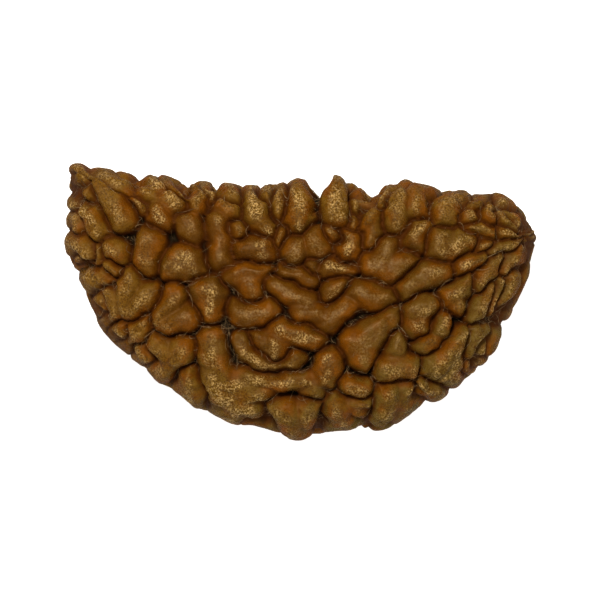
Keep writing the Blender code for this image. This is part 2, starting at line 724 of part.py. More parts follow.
def lump_field(points, lumps):
    """Depth in the best and the next lump, the best one's width, and folds inside it."""
    level = levelled(points)
    best = np.full(len(points), -4.0)
    second = np.full(len(points), -4.0)
    width = np.full(len(points), 0.6)
    fold = np.zeros(len(points))
    owner = np.full(len(points), -1)
    for number, lump in enumerate(lumps):
        if number < len(FACE_LUMPS):
            lump = [levelled(row) for row in lump]
            field = level
        else:
            field = points
        every = np.concatenate(lump)
        margin = every[:, 3].max() + REACH
        low = every[:, :3].min(axis=0) - margin
        high = every[:, :3].max(axis=0) + margin
        near = np.nonzero(np.all((field > low) & (field < high), axis=1))[0]
        if len(near) == 0:
            continue
        query = field[near]
        total = np.zeros(len(near))
        mixed = np.zeros(len(near))
        leader = np.full(len(near), -4.0)
        rival = np.full(len(near), -4.0)
        for row in lump:
            depth, half = row_depth(query, row)
            rival = np.maximum(rival, np.minimum(depth, leader))
            leader = np.maximum(leader, depth)
            weight = np.exp(depth / SOFT)
            total += weight
            mixed += weight * half
        depth = SOFT * np.log(total + 1e-30)
        half = mixed / (total + 1e-30)
        shallow = np.clip(1.0 - (rival + 0.1) / 0.75, 0.0, 1.0)
        dent = np.exp(-(((leader - rival) * 0.5 / FOLD_HALF) ** 2)) * shallow
        wins = depth > best[near]
        second[near] = np.where(wins, best[near], np.maximum(second[near], depth))
        best[near] = np.where(wins, depth, best[near])
        width[near] = np.where(wins, half, width[near])
        fold[near] = np.where(wins, dent, fold[near])
        owner[near] = np.where(wins, number, owner[near])
    return best, second, width, fold, owner


def line_distance(points, line, limit):
    """Distance to a line of points, exact only within a limit."""
    nearest = np.full(len(points), limit * 2.0)
    low = line.min(axis=0) - limit
    high = line.max(axis=0) + limit
    near = np.nonzero(np.all((points > low) & (points < high), axis=1))[0]
    query = points[near]
    found = nearest[near]
    for start, end in zip(line[:-1], line[1:]):
        along = end - start
        share = np.clip((query - start) @ along / (along @ along), 0.0, 1.0)
        found = np.minimum(found, np.linalg.norm(query - start - share[:, None] * along, axis=1))
    nearest[near] = found
    return nearest


def soft_min(first, second, reach):
    """The smaller of two fields with a rounded change-over."""
    blend = np.clip(0.5 + 0.5 * (second - first) / reach, 0.0, 1.0)
    return second * (1.0 - blend) + first * blend - reach * blend * (1.0 - blend)


def hollows(points):
    """1 in the middle of the wide hollows of the face, fading to 0 around them."""
    pit = np.zeros(len(points))
    for x, y, reach in PITS:
        middle = place([x], [y])[0]
        away = np.linalg.norm(points - middle, axis=1) / reach
        pit = np.maximum(pit, np.exp(-(away**3)))
    return pit


def all_lumps():
    """Traced lobes, then the grown ones, with the seam and the clefts."""
    rng = np.random.default_rng(SEED)
    traced = [[fine_row(row) for row in lump] for lump in FACE_LUMPS]
    hang_over(traced)
    seam = seam_line()
    clefts = [cleft_line(*row[:4]) for row in CLEFTS]
    return traced + grown_lumps(rng, traced, seam, clefts), seam, clefts


def sink(points, lumps, seam, clefts):
    """How far each point of the smooth body drops below the tops of the lobes."""
    rng = np.random.default_rng(SEED + 1)
    drift = np.column_stack([waves(points, rng, 2.1) for _ in range(3)]) * 0.13
    drift += np.column_stack([waves(points, rng, 0.9) for _ in range(3)]) * 0.035
    best, second, width, fold, owner = lump_field(points + drift, lumps)
    lift = rng.uniform(-0.14, 0.10, size=len(lumps) + 1)[owner]
    pit = hollows(points + drift * 2.0)
    inside = best + reach_out(points)
    crack = 0.5 * (best - second) + CRACK_FLOOR
    depth = soft_min(inside, crack, MEET)
    along_seam = line_distance(points + drift * 0.6, seam, 2.5) - SEAM_HALF
    depth = soft_min(depth, along_seam, 0.10)
    for line, row in zip(clefts, CLEFTS):
        depth = soft_min(depth, line_distance(points + drift, line, 2.5) - row[4], 0.10)
    tall = np.abs(points[:, 2]) / np.where(points[:, 2] >= 0.0, UPPER_HEIGHT, LOWER_HEIGHT)
    notch = NOTCH_SINK - NOTCH_SLOPE * line_distance(points, clefts[0], 2.5)
    notch = notch * (1.0 - smooth_step((tall - 0.55) / 0.40))
    share = np.clip(depth / (width + TOP_SPAN), 0.0, 1.0)
    peak = LUMP_HEIGHT * (0.62 + 0.38 * np.clip(width / 0.85, 0.0, 1.0)) + lift
    share = share * share / (share + CREASE_EASE) * (1.0 + CREASE_EASE)
    swell = (1.0 - (1.0 - share) ** ROUND) ** (1.0 / ROUND)
    uneven = (0.07 * waves(points, rng, 1.4) + 0.03 * waves(points, rng, 0.6)) * share
    floor = (0.12 * waves(points, rng, 1.7) + 0.09 * waves(points, rng, 0.7)) * (1.0 - share)
    drop = LUMP_HEIGHT + 0.1 - peak * swell + FOLD_DEPTH * fold * swell - uneven - floor
    drop = drop * rim_share(points) + PIT_SINK * pit * (1.0 - share)
    return -soft_min(-drop, -notch, 0.25)


def eased(values, quads, rounds):
    """Values at mesh corners, averaged a little with their neighbours."""
    ends = np.concatenate([quads[:, [0, 1]], quads[:, [1, 2]], quads[:, [2, 3]], quads[:, [3, 0]]])
    count = np.bincount(ends[:, 0], minlength=len(values)).astype(float)
    count += np.bincount(ends[:, 1], minlength=len(values))
    for _ in range(rounds):
        total = np.bincount(ends[:, 0], weights=values[ends[:, 1]], minlength=len(values))
        total += np.bincount(ends[:, 1], weights=values[ends[:, 0]], minlength=len(values))
        values = 0.5 * values + 0.5 * total / count
    return values


def thinned(mesh, limit):
    """The same shape with at most the wanted number of triangles."""
    holder = bpy.data.objects.new("thinning", mesh)
    bpy.context.scene.collection.objects.link(holder)
    fewer = holder.modifiers.new("fewer", "DECIMATE")
    fewer.decimate_type = "COLLAPSE"
    fewer.ratio = limit / (2.0 * len(mesh.polygons))
    fewer.use_collapse_triangulate = True
    graph = bpy.context.evaluated_depsgraph_get()
    result = bpy.data.meshes.new_from_object(holder.evaluated_get(graph))
    bpy.data.objects.remove(holder)
    return result


def rest_flats(mesh, cut):
    """Takes the lowest lobes off on one level, so that the bead lies still."""
    work = bmesh.new()
    work.from_mesh(mesh)
    low = min(corner.co.z for corner in work.verts) + cut * MM
    geometry = work.verts[:] + work.edges[:] + work.faces[:]
    bmesh.ops.bisect_plane(
        work,
        geom=geometry,
        dist=1e-7,
        plane_co=(0.0, 0.0, low),
        plane_no=(0.0, 0.0, 1.0),
        clear_inner=True,
    )
    rims = [edge for edge in work.edges if edge.is_boundary]
    filled = bmesh.ops.holes_fill(work, edges=rims, sides=0)
    bmesh.ops.triangulate(work, faces=filled["faces"])
    bmesh.ops.recalc_face_normals(work, faces=work.faces[:])
    across = [corner.co.x for corner in work.verts]
    deep = [corner.co.y for corner in work.verts]
    shift = (-0.5 * (min(across) + max(across)), -0.5 * (min(deep) + max(deep)), -low)
    bmesh.ops.translate(work, verts=work.verts[:], vec=shift)
    work.to_mesh(mesh)
    work.free()
    mesh.update()


def bead_material():
    """Dry brown stone of the fruit."""
    brown = bpy.data.materials.new("rudraksha_brown")
    brown.use_nodes = True
    shader = brown.node_tree.nodes["Principled BSDF"]
    shader.inputs["Base Color"].default_value = (0.30, 0.12, 0.025, 1.0)
    shader.inputs["Roughness"].default_value = 0.45
    return brown


def build():
    """Clears the scene and makes the bead."""
    for thing in list(bpy.data.objects):
        bpy.data.objects.remove(thing)
    directions, quads = box_grid(CELLS)
    points = body_points(directions)
    smooth = make_mesh("smooth_body", points, quads)
    normals = outward(smooth)
    lumps, seam, clefts = all_lumps()
    drop = eased(sink(points, lumps, seam, clefts), quads, 1)
    points = points - normals * drop[:, None]
    mesh = thinned(make_mesh("full_body", points, quads), FACE_LIMIT)
    rest_flats(mesh, REST_CUT)
    mesh.name = "bead"
    mesh.materials.clear()
    mesh.materials.append(bead_material())
    home = bpy.data.collections.new("half_moon_one_mukhi_rudraksha")
    bpy.context.scene.collection.children.link(home)
    bead = bpy.data.objects.new("bead", mesh)
    home.objects.link(bead)


build()
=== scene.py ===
"""The looks of a half moon one mukhi rudraksha: a brown, deeply lobed fruit stone."""

import math

import bpy
import numpy as np
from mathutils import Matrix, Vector


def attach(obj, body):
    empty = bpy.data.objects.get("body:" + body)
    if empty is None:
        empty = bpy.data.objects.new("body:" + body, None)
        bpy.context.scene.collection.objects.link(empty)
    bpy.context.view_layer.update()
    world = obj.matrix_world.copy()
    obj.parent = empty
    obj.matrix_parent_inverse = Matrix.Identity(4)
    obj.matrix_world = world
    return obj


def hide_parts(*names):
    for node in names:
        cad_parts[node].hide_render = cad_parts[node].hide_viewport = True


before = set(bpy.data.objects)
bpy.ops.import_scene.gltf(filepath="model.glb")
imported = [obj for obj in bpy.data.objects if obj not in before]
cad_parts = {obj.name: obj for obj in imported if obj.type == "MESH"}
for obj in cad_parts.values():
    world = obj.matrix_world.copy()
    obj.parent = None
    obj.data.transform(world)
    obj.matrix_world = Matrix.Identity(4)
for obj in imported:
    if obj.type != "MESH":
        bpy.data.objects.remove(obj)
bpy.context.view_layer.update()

# Plain sizes, in millimetres. The body is thicker above its widest level than
# below it. The rounds are the exponents of its section, first round the belly,
# then towards the straight edge: a larger one is blunter.
MM = 0.001
UPPER_HEIGHT = 7.9
LOWER_HEIGHT = 7.1
UPPER_ROUNDS = (3.9, 4.8)
LOWER_ROUNDS = (2.8, 3.6)
OUTLINE_EASE = 0.06
REST_CUT = 0.42

# The relief: how high the lobes stand, how far they spread past their half
# width on the face and on the walls, how round they are and how they meet.
LUMP_HEIGHT = 1.85
SLACK = 0.68
WALL_SLACK = 1.15
TOP_SPAN = 0.25
ROUND = 2.15
MEET = 0.30
SOFT = 0.22
CRACK_FLOOR = 0.03
CREASE_EASE = 0.04
FOLD_HALF = 0.26
FOLD_DEPTH = 0.32
PIT_SINK = 0.50
RIM_RELIEF = (0.42, 0.80)

# The notch in the straight edge, and the seam along the curved rim.
NOTCH_SINK = 2.40
NOTCH_SLOPE = 1.90
SEAM_HALF = 0.20
LINE_REACH = 2.5

# How rows of lobes run on down the walls, and how high grown lobes may start.
STEP_ALONG = 0.45
WALL_REACH = 0.65
HANG_SHARE = 0.86
REACH = 2.6
RIM_START = 2.6

# Fineness of the mesh, and the seed of everything grown.
CELLS = (264, 172, 112)
FACE_LIMIT = 190000
SEED = 41

# The outline through the tops of the lobes, seen from above, clockwise.
OUTLINE = (
    (-19.7, 11.45), (-18.7, 11.75), (-17.4, 11.5), (-15.3, 11.2), (-13.6, 10.85),
    (-11.8, 10.95), (-10.3, 10.45), (-8.5, 10.45), (-6.6, 10.15), (-4.3, 10.15),
    (-2.2, 10.15), (-0.6, 10.45), (1.0, 10.45), (2.05, 10.6), (2.95, 10.75),
    (4.3, 10.2), (6.0, 9.5), (7.2, 10.0), (8.6, 10.3), (10.0, 10.15),
    (11.6, 9.7), (13.6, 9.5), (15.2, 9.4), (16.5, 9.35), (18.1, 8.5),
    (19.3, 7.2), (20.05, 6.0), (20.15, 5.0), (19.75, 3.6), (19.4, 2.0),
    (18.7, 0.4), (17.9, -1.2), (17.2, -2.4), (16.7, -3.6), (16.0, -5.0),
    (14.7, -6.2), (13.2, -7.4), (11.9, -8.5), (10.2, -8.95), (8.8, -10.0),
    (7.0, -11.05), (5.0, -11.0), (2.8, -11.15), (1.0, -11.55), (-0.5, -11.85),
    (-2.2, -11.2), (-4.0, -10.7), (-5.5, -10.65), (-7.2, -9.8), (-9.0, -9.1),
    (-10.5, -7.9), (-12.2, -7.0), (-13.4, -5.8), (-15.2, -4.4), (-16.7, -3.0),
    (-17.8, -1.2), (-18.6, 1.0), (-19.3, 2.6), (-19.95, 4.2), (-20.02, 6.3),
    (-19.92, 8.3), (-19.92, 10.2),
)

# Gaps that run over the rim: where they cross it, how far in they start on the
# face, how far in they end on the underside, half width.
CLEFTS = (
    (1.3, 8.9, 0.7, 0.66, 0.06), (-13.6, 10.8, 0.95, 0.9, 0.06),
    (-9.6, 10.3, 0.95, 0.9, 0.08), (-7.0, 10.1, 0.96, 0.9, 0.06),
    (6.0, 9.5, 0.95, 0.88, 0.1), (-19.2, 2.4, 0.95, 0.9, 0.08),
    (17.4, -2.1, 0.94, 0.88, 0.1), (5.0, -11.0, 0.94, 0.9, 0.08),
)

# Deep dark hollows between lobes: place and reach.
PITS = (
    (-5.4, -5.0, 0.8), (0.35, -5.0, 0.8), (4.6, -6.3, 0.7), (6.0, -6.1, 0.6),
    (13.4, -2.0, 0.7), (14.6, -0.7, 0.5), (-1.1, -8.1, 0.6), (-9.3, -6.0, 0.5),
)

# Lobes of the upper face as they were read off. Each lump holds one or more
# rows of (x, y, half width); rows of one lump grow together.
FACE_LUMPS = (
    # The blunt left end, from its corner down.
    (((-18.3, 11.0, 0.7), (-19.1, 10.7, 0.85), (-19.5, 9.7, 0.65)),),
    (((-18.8, 9.3, 0.5), (-18.5, 8.6, 0.5)),),
    (((-19.5, 8.2, 0.5), (-19.6, 7.0, 0.6), (-19.6, 5.9, 0.5)),),
    (((-18.2, 7.4, 0.7), (-17.6, 6.2, 0.85), (-17.3, 5.6, 0.7)),),
    (((-19.0, 4.4, 0.9), (-18.7, 3.6, 1.0)),),
    (((-17.5, 4.2, 0.35), (-17.8, 3.0, 0.35)),),
    # The long lump that slants down from the upper left, and its neighbours.
    (((-17.2, 10.7, 0.9), (-16.5, 9.0, 1.0), (-15.3, 7.2, 1.2)),),
    (((-15.5, 10.4, 0.7), (-14.6, 10.1, 0.75)),),
    (((-13.9, 8.5, 0.45), (-13.4, 7.8, 0.45)),),
    (((-16.6, 4.5, 0.6), (-15.5, 3.8, 0.65)),),
    (((-16.4, 2.6, 0.35), (-15.9, 2.5, 0.35)),),
    (((-18.0, 1.8, 0.6), (-16.9, 1.5, 0.55)),),
    # Top row, left half.
    (
        ((-12.9, 9.6, 0.75), (-11.9, 10.2, 0.65)),
        ((-11.2, 9.2, 0.75), (-10.5, 8.3, 0.75)),
        ((-12.0, 7.6, 0.8), (-11.9, 6.9, 0.9)),
    ),
    (((-9.9, 9.5, 0.4),),),
    (
        ((-8.5, 9.8, 0.55), (-8.7, 8.4, 0.7)),
        ((-9.6, 7.0, 0.7), (-9.2, 5.6, 0.75)),
    ),
    (((-7.5, 9.5, 0.35), (-7.5, 9.0, 0.3)),),
    (
        ((-6.7, 8.7, 0.6), (-5.9, 7.9, 0.65)),
        ((-6.9, 6.9, 0.6), (-6.8, 5.0, 0.65), (-6.8, 3.5, 0.75)),
    ),
    (((-5.7, 9.5, 0.55),),),
    (
        ((-4.1, 9.4, 0.6), (-3.9, 8.0, 0.85), (-3.6, 7.4, 0.8)),
        ((-3.0, 6.5, 0.7), (-2.8, 5.9, 0.6)),
    ),
    (((-2.9, 9.5, 0.5),),),
    (((-1.8, 9.1, 0.45), (-1.9, 7.8, 0.5)),),
    (((-0.55, 9.7, 0.7), (-0.2, 8.3, 1.12), (-0.25, 7.0, 1.0), (-0.3, 6.1, 0.7)),),
    (((-5.3, 6.2, 0.35), (-5.2, 5.6, 0.3)),),
    (((-1.6, 5.7, 0.45), (-1.9, 5.1, 0.35)),),
    # Top row, right half, from the notch on.
    (((2.95, 9.9, 0.85), (3.0, 8.4, 1.2), (3.0, 7.3, 1.05)),),
    (((4.9, 8.8, 0.38), (4.8, 8.0, 0.3)), ((5.5, 8.9, 0.42),)),
    (((4.5, 7.3, 0.25), (4.4, 6.5, 0.25)),),
    (
        ((5.8, 7.5, 0.7), (5.7, 6.7, 0.75)),
        ((6.1, 5.8, 0.6), (5.9, 5.0, 0.45)),
    ),
    (((6.5, 8.9, 0.45), (6.9, 8.5, 0.4)),),
    (
        ((8.1, 9.3, 0.82), (8.0, 8.0, 1.05), (8.1, 6.9, 0.92), (8.1, 6.2, 0.55)),
        ((9.8, 9.4, 0.65), (9.7, 8.3, 0.6), (9.9, 7.6, 0.45)),
    ),
    (((12.3, 8.5, 1.0), (12.2, 7.4, 1.0)),),
    (((13.9, 8.8, 0.5), (15.2, 8.5, 0.55)), ((14.2, 7.8, 0.5), (14.3, 7.2, 0.5))),
    (((15.7, 8.0, 0.6), (16.3, 7.4, 0.6)),),
    (((14.5, 6.1, 0.45), (15.6, 6.1, 0.5), (16.5, 5.9, 0.45)),),
    # The right tip, where the ridges run together.
    (((16.5, 8.9, 0.5), (17.5, 8.3, 0.45), (18.6, 7.2, 0.4), (19.2, 6.4, 0.35)),),
    (((16.9, 7.8, 0.5), (18.0, 6.9, 0.45), (18.9, 6.2, 0.32)),),
    (((17.3, 5.95, 0.42), (18.4, 5.75, 0.38), (19.3, 5.6, 0.28)),),
    (((19.8, 5.2, 0.35), (19.7, 4.5, 0.35)),),
    (((15.3, 4.7, 0.45), (16.0, 4.6, 0.35)),),
    (((16.5, 4.0, 0.42), (17.7, 4.45, 0.45), (18.9, 5.0, 0.32)),),
    (((19.1, 4.1, 0.42), (18.5, 3.4, 0.52), (17.7, 2.4, 0.45)),),
    (((17.1, 3.5, 0.45), (16.4, 2.7, 0.6), (15.4, 1.4, 0.65)),),
    (((13.7, 2.9, 0.5), (14.6, 3.3, 0.5), (15.6, 3.4, 0.35)),),
    # Second row.
    (((-12.8, 5.1, 0.88), (-13.1, 3.4, 1.0)),),
    (((-10.9, 2.8, 0.9), (-9.6, 3.5, 1.1), (-9.1, 2.8, 0.9)),),
    (((-4.5, 4.3, 1.0), (-3.2, 4.4, 1.08)),),
    (
        ((-0.4, 5.0, 0.72), (-0.6, 3.9, 0.92)),
        ((1.1, 5.3, 0.78), (1.5, 4.3, 0.98)),
    ),
    (((2.4, 6.0, 0.35), (3.2, 5.4, 0.4)),),
    (((4.0, 5.4, 0.65), (4.0, 4.4, 0.8), (3.9, 3.7, 0.62)),),
    (
        ((7.3, 4.7, 0.75), (7.0, 3.6, 0.9)),
        ((5.9, 3.2, 0.75), (6.8, 2.6, 0.95)),
        ((8.0, 2.7, 0.95), (8.9, 3.4, 0.75)),
    ),
    (((10.0, 6.5, 0.65), (9.4, 5.7, 0.85), (9.4, 4.9, 0.75)),),
    (
        ((11.9, 5.3, 0.8), (11.8, 4.3, 0.9)),
        ((12.8, 4.3, 0.8), (13.6, 5.2, 0.7), (14.7, 5.0, 0.5)),
    ),
    # Third row.
    (((2.3, 3.0, 0.65), (3.7, 2.8, 0.6)), ((0.9, 3.2, 0.4),)),
    (((-1.2, 2.6, 0.5), (-0.2, 2.2, 0.6), (0.7, 1.7, 0.45)),),
    (
        ((-5.6, 2.1, 0.6), (-4.5, 2.5, 0.7), (-3.3, 2.5, 0.6)),
        ((-4.3, 1.5, 0.75), (-4.1, 0.5, 0.6)),
    ),
    (
        ((-8.2, 0.9, 0.9), (-7.4, 0.9, 0.9)),
        ((-7.7, -0.1, 0.85), (-7.7, -1.0, 0.65)),
    ),
    (
        ((-1.9, 1.2, 0.55), (-0.8, 0.6, 0.65), (0.6, -0.2, 0.6)),
        ((0.2, -0.9, 0.65), (1.4, -1.0, 0.75)),
        ((3.8, -0.3, 0.6), (2.8, -1.2, 0.75), (2.1, -1.7, 0.75)),
        ((4.6, 0.8, 0.7), (5.8, 0.5, 0.95), (6.9, 0.3, 0.7)),
    ),
    (((3.3, 1.4, 0.5), (2.7, 0.8, 0.6), (2.5, 0.2, 0.4)),),
    (((8.9, 1.1, 0.65), (10.5, 2.1, 0.85), (11.9, 2.6, 0.8)),),
    (
        ((12.6, 0.3, 0.7), (13.5, 0.5, 0.8), (14.3, 1.5, 0.5)),
        ((13.4, -0.6, 0.75),),
    ),
    # The hand of four fingers at the left.
    (
        ((-14.6, 1.7, 0.8), (-15.0, 0.4, 0.75), (-15.2, -1.0, 0.6)),
        ((-12.8, 0.7, 0.6), (-13.8, -0.2, 0.65), (-14.4, -1.2, 0.6)),
        ((-16.8, 0.6, 0.55), (-16.3, -0.6, 0.7), (-16.2, -1.5, 0.55)),
    ),
    (
        ((-10.7, 0.5, 0.65), (-11.4, -0.7, 0.65), (-12.1, -1.7, 0.7)),
        ((-9.6, -1.5, 0.75), (-11.2, -2.1, 0.75)),
    ),
    (((-13.3, -2.1, 0.5), (-14.3, -2.8, 0.7), (-14.4, -3.7, 0.55)),),
    (((-17.4, -0.2, 0.4), (-17.0, -1.4, 0.45)),),
    (((-15.9, -2.5, 0.5), (-15.3, -3.7, 0.45)),),
    # Fourth row.
    (((-5.2, -0.8, 0.85), (-4.2, -1.2, 0.9), (-3.0, -0.9, 0.8)),),
    (
        ((-1.9, -2.4, 0.6), (-0.5, -2.9, 0.75), (1.2, -3.3, 0.6)),
        ((-2.4, -3.6, 0.75), (-2.0, -4.6, 0.8)),
        ((-3.6, -3.0, 0.5), (-3.2, -3.9, 0.5)),
    ),
    (
        ((-5.0, -3.4, 0.45), (-4.5, -4.5, 0.6), (-3.5, -5.4, 0.6), (-2.2, -5.6, 0.55)),
        ((-2.2, -5.6, 0.55), (-1.0, -5.4, 0.5), (-0.3, -4.8, 0.35)),
    ),
    (
        ((7.7, -1.3, 0.55), (6.6, -2.3, 0.85), (5.3, -3.7, 1.15), (5.2, -4.9, 0.85)),
        ((4.3, -3.5, 0.75),),
    ),
    (
        ((9.7, -1.0, 1.0), (10.8, -0.6, 0.8)),
        ((9.9, -2.1, 0.85),),
    ),
    (
        ((12.2, -1.6, 0.5), (11.9, -2.5, 0.6)),
        ((10.5, -3.8, 0.65), (11.3, -3.5, 0.55)),
    ),
    (((16.3, 0.8, 0.5), (15.5, -0.6, 0.75), (15.1, -1.5, 0.6)),),
    (((17.3, 1.5, 0.4), (16.9, 0.0, 0.4), (16.6, -1.1, 0.35)),),
    (((18.4, 1.9, 0.4), (17.9, 0.3, 0.45), (17.3, -1.0, 0.45)),),
    # Fifth row.
    (
        ((-12.4, -4.3, 0.85), (-11.7, -5.2, 0.9)),
        ((-10.1, -4.2, 0.8), (-10.7, -5.2, 0.85)),
        ((-11.6, -6.0, 0.7),),
    ),
    (((-14.2, -4.5, 0.4), (-13.3, -5.3, 0.4)),),
    (
        ((-7.6, -3.5, 0.85), (-7.7, -4.8, 0.95), (-6.9, -6.6, 0.95), (-5.6, -7.5, 1.0)),
        ((-4.6, -6.7, 0.7), (-2.6, -6.9, 0.75), (-0.8, -6.8, 0.6), (0.5, -7.1, 0.5)),
        ((-7.7, -6.8, 0.9), (-7.0, -8.2, 1.05), (-5.6, -9.3, 1.0), (-4.3, -9.6, 0.85)),
        ((-5.6, -7.5, 1.1), (-4.6, -8.2, 1.1), (-3.5, -8.2, 0.8)),
        ((1.0, -7.5, 0.6), (1.1, -8.1, 0.75)),
        ((2.3, -4.8, 0.75), (2.3, -5.8, 0.95), (2.2, -6.6, 0.75)),
    ),
    (
        ((8.2, -3.4, 0.5), (8.1, -4.2, 0.65)),
        ((7.4, -5.9, 0.9), (9.2, -6.0, 0.95)),
    ),
    (
        ((13.8, -3.0, 0.55), (13.2, -4.3, 0.9), (12.3, -5.5, 1.15), (11.3, -6.2, 0.95)),
        ((13.4, -5.6, 0.85), (12.6, -6.7, 0.85)),
    ),
    (((15.5, -2.7, 0.55), (15.0, -3.9, 0.62), (14.5, -5.1, 0.5)),),
    (((15.9, -4.2, 0.4), (15.2, -5.3, 0.4), (14.3, -6.2, 0.45)),),
    # The bottom edge, left to right.
    (((-9.6, -6.9, 0.65), (-9.4, -8.1, 0.7)),),
    (
        ((-2.4, -9.4, 0.6), (-1.5, -9.8, 0.95), (-0.8, -10.8, 0.8)),
        ((0.8, -9.3, 0.75), (0.3, -10.4, 0.8)),
    ),
    (
        ((2.8, -8.6, 0.5), (3.0, -9.6, 0.85), (3.6, -10.3, 0.7)),
        ((4.9, -9.2, 0.65), (5.6, -9.1, 0.6)),
        ((4.9, -9.9, 0.65),),
    ),
    (((4.2, -7.4, 0.75), (5.3, -7.7, 0.75)),),
    (
        ((7.6, -8.1, 0.9), (7.6, -9.2, 1.0), (6.7, -10.2, 0.8)),
        ((9.1, -8.0, 0.6), (8.7, -8.9, 0.7)),
    ),
    (((10.3, -7.6, 0.75), (11.4, -8.0, 0.75)),),
)


def outline_curve():
    """The outline as a dense smooth curve: directions and distances from the middle."""
    corners = np.array(OUTLINE)
    before = np.roll(corners, 1, axis=0)
    after = np.roll(corners, -1, axis=0)
    beyond = np.roll(corners, -2, axis=0)
    curve = []
    for share in np.linspace(0.0, 1.0, 12, endpoint=False):
        curve.append(
            0.5
            * (
                2.0 * corners
                + (after - before) * share
                + (2.0 * before - 5.0 * corners + 4.0 * after - beyond) * share**2
                + (3.0 * corners - before - 3.0 * after + beyond) * share**3
            )
        )
    curve = np.concatenate(curve)
    around = np.arctan2(curve[:, 1], curve[:, 0])
    order = np.argsort(around)
    around = around[order]
    reach = np.hypot(curve[:, 0], curve[:, 1])[order] + OUTLINE_EASE
    around = np.concatenate([[around[-1] - 2.0 * math.pi], around, [around[0] + 2.0 * math.pi]])
    return around, np.concatenate([[reach[-1]], reach, [reach[0]]])


AROUND, OUT_REACH = outline_curve()


def outline_radius(angles):
    """Distance from the middle of the bead to its outline, in each direction."""
    return np.interp(angles, AROUND, OUT_REACH)


def polar(out, angle, *more):
    """Points from distances and directions in plan, with heights and more behind."""
    return np.column_stack([out * np.cos(angle), out * np.sin(angle), *more])


def smooth_step(share):
    """0 below 0, 1 above 1, and a smooth change between."""
    share = np.clip(share, 0.0, 1.0)
    return share * share * (3.0 - 2.0 * share)


def edge_blend(angles):
    """1 towards the straight edge and 0 round the belly."""
    return smooth_step((np.sin(angles) - 0.12) / 0.40)


def bluntness(angles, upper):
    """Exponent of the section in each direction: the straight edge is blunter."""
    blend = edge_blend(angles)
    top = UPPER_ROUNDS[0] + (UPPER_ROUNDS[1] - UPPER_ROUNDS[0]) * blend
    bottom = LOWER_ROUNDS[0] + (LOWER_ROUNDS[1] - LOWER_ROUNDS[0]) * blend
    return np.where(upper, top, bottom)


def body_height(share, angles, upper):
    """Height above or depth below the rim plane at a share of the way out."""
    share = np.clip(share, 0.0, 1.0)
    power = bluntness(angles, upper)
    half = np.where(upper, UPPER_HEIGHT, -LOWER_HEIGHT)
    return half * (1.0 - share**power) ** (1.0 / power)


def body_points(directions):
    """Points of the smooth body met along unit directions."""
    flat = np.hypot(directions[:, 0], directions[:, 1])
    tall = np.abs(directions[:, 2])
    upper = directions[:, 2] >= 0.0
    angle = np.arctan2(11.3 * directions[:, 1], 20.0 * directions[:, 0])
    power = bluntness(angle, upper)
    scale = (flat**power + tall**power) ** (-1.0 / power)
    out = scale * flat * outline_radius(angle)
    half = np.where(upper, UPPER_HEIGHT, LOWER_HEIGHT)
    height = np.sign(directions[:, 2]) * half * scale * tall
    return polar(out, angle, height)


def place(x, y):
    """The point of the smooth body above a place in plan."""
    x = np.asarray(x, dtype=float)
    y = np.asarray(y, dtype=float)
    angle = np.arctan2(y, x)
    limit = outline_radius(angle)
    share = np.minimum(np.hypot(x, y) / limit, 0.995)
    out = share * limit
    return polar(out, angle, body_height(share, angle, True))


def box_grid(cells):
    """Corners and outward quads of a box cut into small cells on every side."""
    counts = np.array(cells)
    quads = []
    for axis in range(3):
        first = (axis + 1) % 3
        second = (axis + 2) % 3
        i, j = np.meshgrid(np.arange(counts[first]), np.arange(counts[second]), indexing="ij")
        for level in (0, counts[axis]):
            ring = [(0, 0), (1, 0), (1, 1), (0, 1)]
            if level == 0:
                ring = ring[::-1]
            corners = []
            for di, dj in ring:
                corner = np.zeros((i.size, 3), dtype=int)
                corner[:, axis] = level
                corner[:, first] = (i + di).ravel()
                corner[:, second] = (j + dj).ravel()
                corners.append(corner)
            quads.append(np.stack(corners, axis=1))
    quads = np.concatenate(quads)
    span = counts + 1
    codes = quads[:, :, 0] + span[0] * (quads[:, :, 1] + span[1] * quads[:, :, 2])
    unique, inverse = np.unique(codes.ravel(), return_inverse=True)
    places = np.column_stack([unique % span[0], (unique // span[0]) % span[1], unique // (span[0] * span[1])])
    turned = np.tan((2.0 * places / counts - 1.0) * math.pi / 4.0)
    directions = turned / np.linalg.norm(turned, axis=1)[:, None]
    return directions, inverse.reshape(-1, 4)


def make_mesh(name, points, faces):
    """A mesh from points in millimetres and a list of faces."""
    mesh = bpy.data.meshes.new(name)
    mesh.from_pydata((points * MM).tolist(), [], faces)
    mesh.update()
    return mesh


def outward(mesh):
    """Outward directions at the corners of a mesh."""
    normals = np.zeros(len(mesh.vertices) * 3, dtype=np.float32)
    mesh.vertex_normals.foreach_get("vector", normals)
    return normals.reshape(-1, 3).astype(float)


def waves(points, rng, length, count=9):
    """A smooth random field between about -1 and 1 with one typical length."""
    total = np.zeros(len(points))
    for _ in range(count):
        way = rng.normal(size=3)
        way *= 2.0 * math.pi / (length * np.linalg.norm(way) * rng.uniform(0.75, 1.35))
        total += np.sin(points @ way + rng.uniform(0.0, 2.0 * math.pi))
    return total / math.sqrt(0.5 * count) * 0.6


def fine_row(row):
    """One traced row as closely spaced points on the upper face."""
    row = np.array(row, dtype=float)
    pieces = [row[:1]]
    for start, end in zip(row[:-1], row[1:]):
        steps = max(1, int(math.ceil(np.hypot(*(end - start)[:2]) / STEP_ALONG)))
        share = np.linspace(0.0, 1.0, steps + 1)[1:, None]
        pieces.append(start + (end - start) * share)
    row = np.concatenate(pieces)
    return np.column_stack([place(row[:, 0], row[:, 1]), row[:, 2]])


def body_normals(points):
    """Outward directions of the smooth body at points lying on it."""
    pushes = 0.05 * np.eye(3)
    level = [body_level(points + push) - body_level(points - push) for push in pushes]
    level = np.column_stack(level)
    return level / np.linalg.norm(level, axis=1)[:, None]


